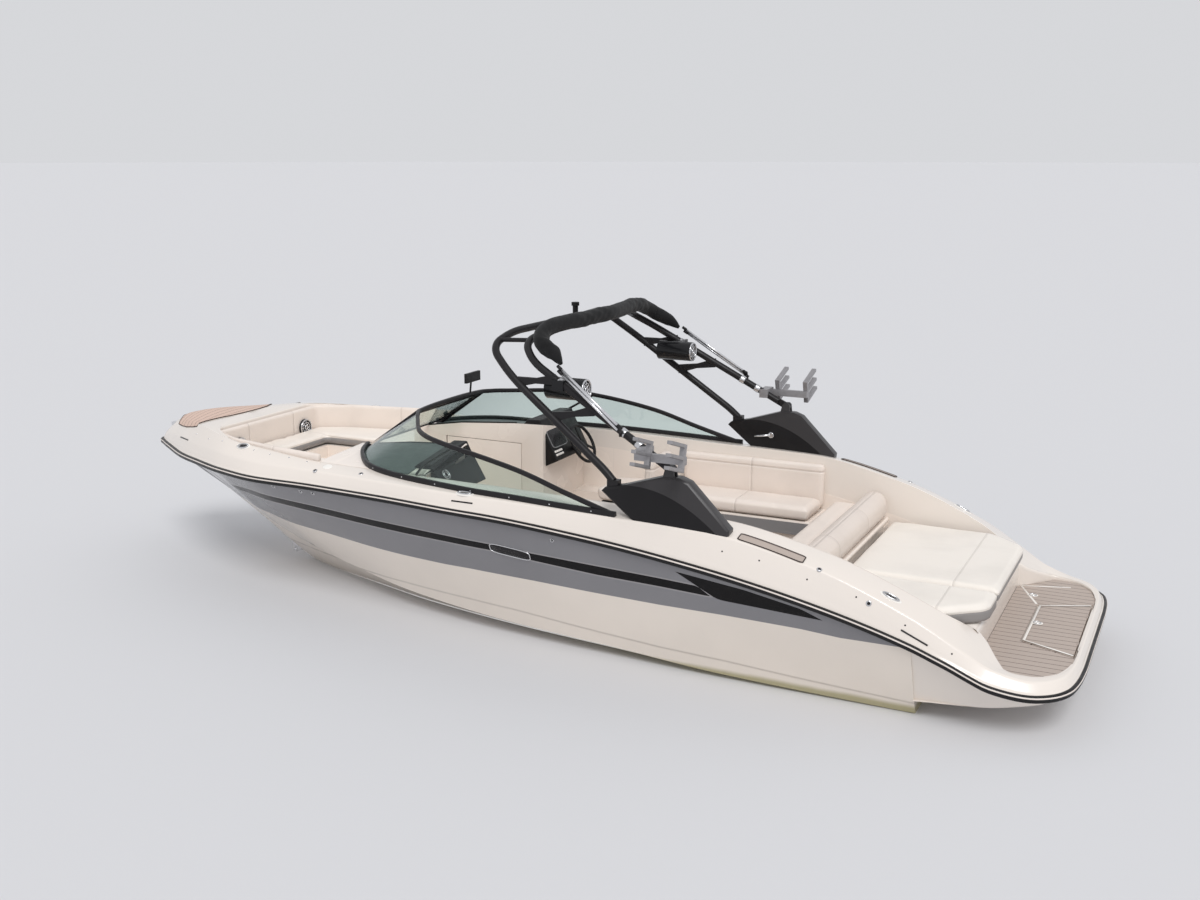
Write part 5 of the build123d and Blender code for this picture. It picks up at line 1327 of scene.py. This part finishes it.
# %% Latches on the fairings
LATCH_Y = 1.339
LATCH_LINE = [(-1.40, 1.391), (-1.46, 1.398), (-1.555, 1.413)]
LATCH_BOSS = (-1.56, 1.413)
latches = []
for side in (-1, 1):
    y = side * LATCH_Y
    latches.append(bar(np.array([(x, y, z) for x, z in LATCH_LINE]), 0.011, 12, (0, 1, 0)))
    latches.append(button(np.array([LATCH_BOSS[0], y, LATCH_BOSS[1]]), (0, -side, 0), 0.028, BEZEL))
piece_of("fairing_latches", latches, "stainless")

# %% [markdown]
# The helm has a screen in a grey rim and two rows of pale keys, the port dash has a round gauge, and a
# pair of speakers with bright faces looks aft from the bow.

# %% Instruments, and the speakers at the bow
DASH_FOOT, DASH_HEAD = np.array([0.195, 0, 1.185]), np.array([0.35, 0, 1.478])
DASH_UP = unit(DASH_HEAD - DASH_FOOT)
DASH_OUT = np.array([-DASH_UP[2], 0, DASH_UP[0]])
SCREEN_AT = (-0.56, 0.215)
GAUGE, GAUGE_WAY = np.array([0.566, 0.96, 1.318]), (-0.82, 0, 0.57)
BOW_SPEAKER = np.array([3.194, 0.50, 1.215])


def dash_panel(y, up, half_y, half_up, lift):
    """A flat panel with round corners on the sloping face of the starboard dash."""
    turn = np.linspace(0, 2 * np.pi, 41)
    across, rise = [np.sign(wave) * np.abs(wave) ** 0.3 for wave in (np.cos(turn), np.sin(turn))]
    rows = []
    for share, height in ((1, 0.0), (1, lift), (0.95, lift + 0.001), (0, lift + 0.001)):
        flat = np.outer(y + share * half_y * across, (0, 1, 0))
        rows.append(DASH_FOOT + flat + np.outer(up + share * half_up * rise, DASH_UP) + height * DASH_OUT)
    return np.stack(rows)


keys = [dash_panel(-0.42 - 0.038 * column, 0.055 + 0.034 * row, 0.014, 0.010, 0.006)
        for column in range(4) for row in range(2)]
piece_of("dash_keys", keys, "accent")
for name, half, lift, finish in (("dash_screen_rim", (0.15, 0.095), 0.004, "grey_panel"),
                                 ("dash_screen", (0.141, 0.086), 0.006, "plate")):
    settle(piece_of(name, [dash_panel(*SCREEN_AT, *half, lift)], finish), 40)
cones, grilles = [], []
for flip in (np.ones(3), MIRROR):
    cones.append(button(BOW_SPEAKER * flip, (-1, 0, 0), 0.086, [(1.0, -0.02), (0.97, 0.003), (0, 0.003)],
                        along=(0, 0, 1)))
    grilles += speaker_face(BOW_SPEAKER * flip + (-0.004, 0, 0))
gauge = [bar(circle(GAUGE, GAUGE_WAY, radius, (0, 1, 0)), tube, 10, (0, 1, 0), caps=False)
         for radius, tube in ((0.042, 0.006), (0.024, 0.004))]
piece_of("port_gauge", gauge, "stainless")
piece_of("bow_speaker_cones", cones, "plate")
piece_of("bow_speaker_faces", grilles, "stainless")

# %% [markdown]
# The rest of the rigid pieces already have their true shape in the construction model. Some keep it as
# it is and only take a finish. Those with moulded edges are copied, their faces joined up, and their
# edges rolled over, because a moulding has no knife edges.

# %% Finishes on the rigid pieces
NODE_FINISH = {
    "inner_moulding": "liner", "centre_window_frame": "black_metal", "centre_window_glass": "tinted_glass",
    "steering_wheel": "black_plastic", "helm_seat_post": "black_metal", "tower_frame": "black_metal",
    "masthead_light": "black_plastic", "engine_block": "engine", "steer_yoke": "drive",
    "drive_leg": "drive", "propeller": "propeller", "bow_eye": "bright_tube",
    "view_mirror": "black_plastic", "bow_light": "bright_tube", "platform_mat": "deck_mat",
    "platform_hatch": "deck_mat", "floor_mat": "floor_mat", "transom_shield": "drive",
}
for node, finish in NODE_FINISH.items():
    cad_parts[node].data.materials.clear()
    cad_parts[node].data.materials.append(finishes[finish])

ROUNDED = [
    # node, finish, radius of its edges, body
    ("console_port", "liner", 0.02, "root"), ("console_starboard", "liner", 0.02, "root"),
    ("head_door", "liner", 0.008, "head_door"), ("dashes", "dash", 0.02, "root"),
    ("seat_bases", "seat_base", 0.02, "root"), ("engine_lid", "liner", 0.008, "engine_hatch"),
    ("tower_fairings", "fairing", 0.022, "root"), ("board_racks", "aluminium", 0.006, "tower"),
    ("tower_speakers", "speaker", 0.012, "tower"),
]
PORT_DASH_AHEAD, PORT_DASH_LOW, PORT_DASH_FALL = 0.27, 0.88, 0.36
PORT_DASH_FOOT, PORT_DASH_INNER = 1.12, 0.46
PORT_CONSOLE_AFT, PORT_CONSOLE_MIDDLE = 0.66, 0.5
DASH_INBOARD, DASH_MIDDLE = 0.07, -0.5
for node, finish, radius, body in ROUNDED:
    piece = softened(node, finish, radius, body)
    points = places_of(piece)
    if node == "dashes":
        port = points[:, 1] > 0
        points[port, 0] += PORT_DASH_AHEAD
        fall = PORT_DASH_LOW - PORT_DASH_FALL * (points[port, 1] - PORT_DASH_INNER)
        points[port, 2] = PORT_DASH_FOOT + (points[port, 2] - PORT_DASH_FOOT) * fall
        inboard = (points[:, 1] > DASH_MIDDLE) & ~port
        points[inboard, 1] += DASH_INBOARD
    if node == "console_port":
        aft = points[:, 0] < PORT_CONSOLE_MIDDLE
        points[aft, 0] = PORT_CONSOLE_AFT + 0.5 * (points[aft, 0] - COWL[0][0])
    piece.data.vertices.foreach_set("co", points.ravel())
print("pieces with rolled edges:", len(ROUNDED))

# %% [markdown]
# Cushions are foam in vinyl. Each starts as the construction model's block with its edges rolled, drawn
# in by a centimetre, and is blown up as cloth for a moment, so its faces crown between the edges. How
# far any point may move is capped, less to the sides than upwards, and what lies on a base stays flat.

# %% Soft pieces
SOFT = [
    # node, finish, body, roll of the edges, fullness
    ("sunpad", "vinyl_pad", "engine_hatch", 0.030, 0.8), ("sunpad_filler", "vinyl_pad", "root", 0.030, 0.8),
    ("back_roll", "vinyl_roll", "root", 0.020, 0.9), ("lounge_cushions", "vinyl", "root", 0.034, 0.8),
    ("lounge_backs", "vinyl", "root", 0.030, 0.8), ("helm_seat", "vinyl", "root", 0.040, 0.8),
    ("bow_cushions", "vinyl_bow", "root", 0.026, 0.7), ("bow_backs", "vinyl_bow_back", "root", 0.026, 0.8),
]
VOXEL = 0.024
DRAWN_IN = 0.009
CROWN = 0.019
BULGE = 0.006
BOLSTER_RISE = 0.035
PAD_CORNER = 0.09
PRESSURE = 4.0
CLOTH_FRAMES = 20


def foam_block(node, roll):
    """The start of a cushion: an even net of squares on the rolled block, drawn in a little."""
    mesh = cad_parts[node].data.copy()
    work = bmesh.new()
    work.from_mesh(mesh)
    bmesh.ops.remove_doubles(work, verts=work.verts, dist=MERGE)
    bmesh.ops.dissolve_limit(work, angle_limit=math.radians(0.6), verts=work.verts, edges=work.edges)
    if node in ("sunpad", "sunpad_filler"):
        corners = [edge for edge in work.edges
                   if abs(edge.verts[0].co.z - edge.verts[1].co.z) > 0.08 and edge.verts[0].co.x < -3.7
                   and abs(edge.verts[0].co.y) > 0.5]
        bmesh.ops.bevel(work, geom=corners, offset=PAD_CORNER, segments=6, profile=0.5, affect="EDGES")
    work.to_mesh(mesh)
    work.free()
    mesh.materials.clear()
    piece = bpy.data.objects.new(node + "_cushion", mesh)
    bpy.context.scene.collection.objects.link(piece)
    bevel = piece.modifiers.new("roll", "BEVEL")
    bevel.width = roll
    bevel.segments = 3
    bevel.limit_method = "ANGLE"
    bevel.angle_limit = math.radians(40)
    net = piece.modifiers.new("net", "REMESH")
    net.mode = "VOXEL"
    net.voxel_size = VOXEL
    graph = bpy.context.evaluated_depsgraph_get()
    made = bpy.data.meshes.new_from_object(piece.evaluated_get(graph))
    piece.modifiers.clear()
    piece.data = made
    made.shade_smooth()
    normals = np.empty(len(made.vertices) * 3)
    made.vertex_normals.foreach_get("vector", normals)
    points = places_of(piece) - DRAWN_IN * normals.reshape(-1, 3)
    made.vertices.foreach_set("co", points.ravel())
    return piece, points


def add_cloth(piece):
    cloth = piece.modifiers.new("cloth", "CLOTH")
    cloth.settings.quality = 4
    cloth.settings.use_pressure = True
    cloth.settings.uniform_pressure_force = PRESSURE
    cloth.settings.effector_weights.gravity = 0
    cloth.collision_settings.use_collision = False
    cloth.point_cache.frame_end = CLOTH_FRAMES


def settled_cloth(piece, start):
    """Where the cloth went, with the move capped and the base kept flat."""
    graph = bpy.context.evaluated_depsgraph_get()
    shown = piece.evaluated_get(graph).data
    points = np.empty(len(shown.vertices) * 3)
    shown.vertices.foreach_get("co", points)
    move = points.reshape(-1, 3) - start
    flat = np.linalg.norm(move[:, :2], axis=1, keepdims=True)
    move[:, :2] *= np.minimum(1, BULGE / np.maximum(flat, 1e-9))
    move[:, 2] = np.clip(move[:, 2], 0, CROWN)
    return start + move


cushions = [foam_block(node, roll) for node, finish, body, roll, fill in SOFT]
for piece, start in cushions:
    add_cloth(piece)
for number in range(1, CLOTH_FRAMES + 1):
    bpy.context.scene.frame_set(number)
shapes = [settled_cloth(piece, start) for piece, start in cushions]
for (piece, start), points in zip(cushions, shapes):
    piece.modifiers.clear()
    piece.data.vertices.foreach_set("co", points.ravel())
bpy.context.scene.frame_set(1)
for (piece, start), (node, finish, body, roll, fill) in zip(cushions, SOFT):
    if node == "bow_backs":
        points = places_of(piece)
        points[:, 2] += BOLSTER_RISE * np.clip((points[:, 2] - 1.18) / 0.2, 0, 1)
        piece.data.vertices.foreach_set("co", points.ravel())
    smooth = piece.modifiers.new("smooth", "SUBSURF")
    smooth.levels = smooth.render_levels = 1
    settle(piece, 180)
    piece.data.materials.append(finishes[finish])
    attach(piece, body)
    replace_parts(piece, node)
print("cushions:", {row[0]: len(piece.data.polygons) for (piece, start), row in zip(cushions, SOFT)})

# %% [markdown]
# The floor lies at the waterline, with a hole cut along it, so the hull's bottom hangs through. It is
# pale and plain, and the light is a bright overcast sky with one veiled sun, whose wide disc keeps the
# shadows soft.

# %% Floor, sky and lamp


def build_floor():
    x = np.linspace(-3.548, 2.72, 60)
    keel, chine_y, chine_z = hull_line(x, 1), hull_line(x, 2), hull_line(x, 3)
    half = np.maximum(chine_y * (0 - keel) / (chine_z - keel), 0.004) - 0.003
    line = np.concatenate([np.stack([x, half], axis=1), np.stack([x, -half], axis=1)[::-1]])
    middle = np.array([-1.2, 0.0])
    turns = np.linspace(-np.pi, np.pi, 241)
    inner = ray_points(line, middle, turns)
    rings = [np.column_stack([inner, np.zeros(len(turns))])]
    for radius in (6, 20, 90, 400):
        far = middle + radius * np.stack([np.cos(turns), np.sin(turns)], axis=1)
        rings.append(np.column_stack([far, np.zeros(len(turns))]))
    mesh = bpy.data.meshes.new("floor")
    grid = np.stack(rings)
    mesh.from_pydata(grid.reshape(-1, 3).tolist(), [], grid_faces(*grid.shape[:2]).tolist())
    floor = bpy.data.objects.new("floor", mesh)
    bpy.context.scene.collection.objects.link(floor)
    paint = Paint("floor")
    mesh.materials.append(paint.finish(linear(214, 214, 216), 0.9))


def build_light():
    world = bpy.data.worlds.new("sky")
    bpy.context.scene.world = world
    world.use_nodes = True
    world.node_tree.nodes["Background"].inputs["Color"].default_value = (0.94, 0.95, 0.98, 1)
    world.node_tree.nodes["Background"].inputs["Strength"].default_value = 0.72
    lamp = bpy.data.lights.new("key", "SUN")
    lamp.angle = math.radians(25)
    lamp.energy = 1.5
    key = bpy.data.objects.new("key", lamp)
    bpy.context.scene.collection.objects.link(key)
    key.rotation_euler = (math.radians(-34), math.radians(-26), 0)


build_floor()
build_light()
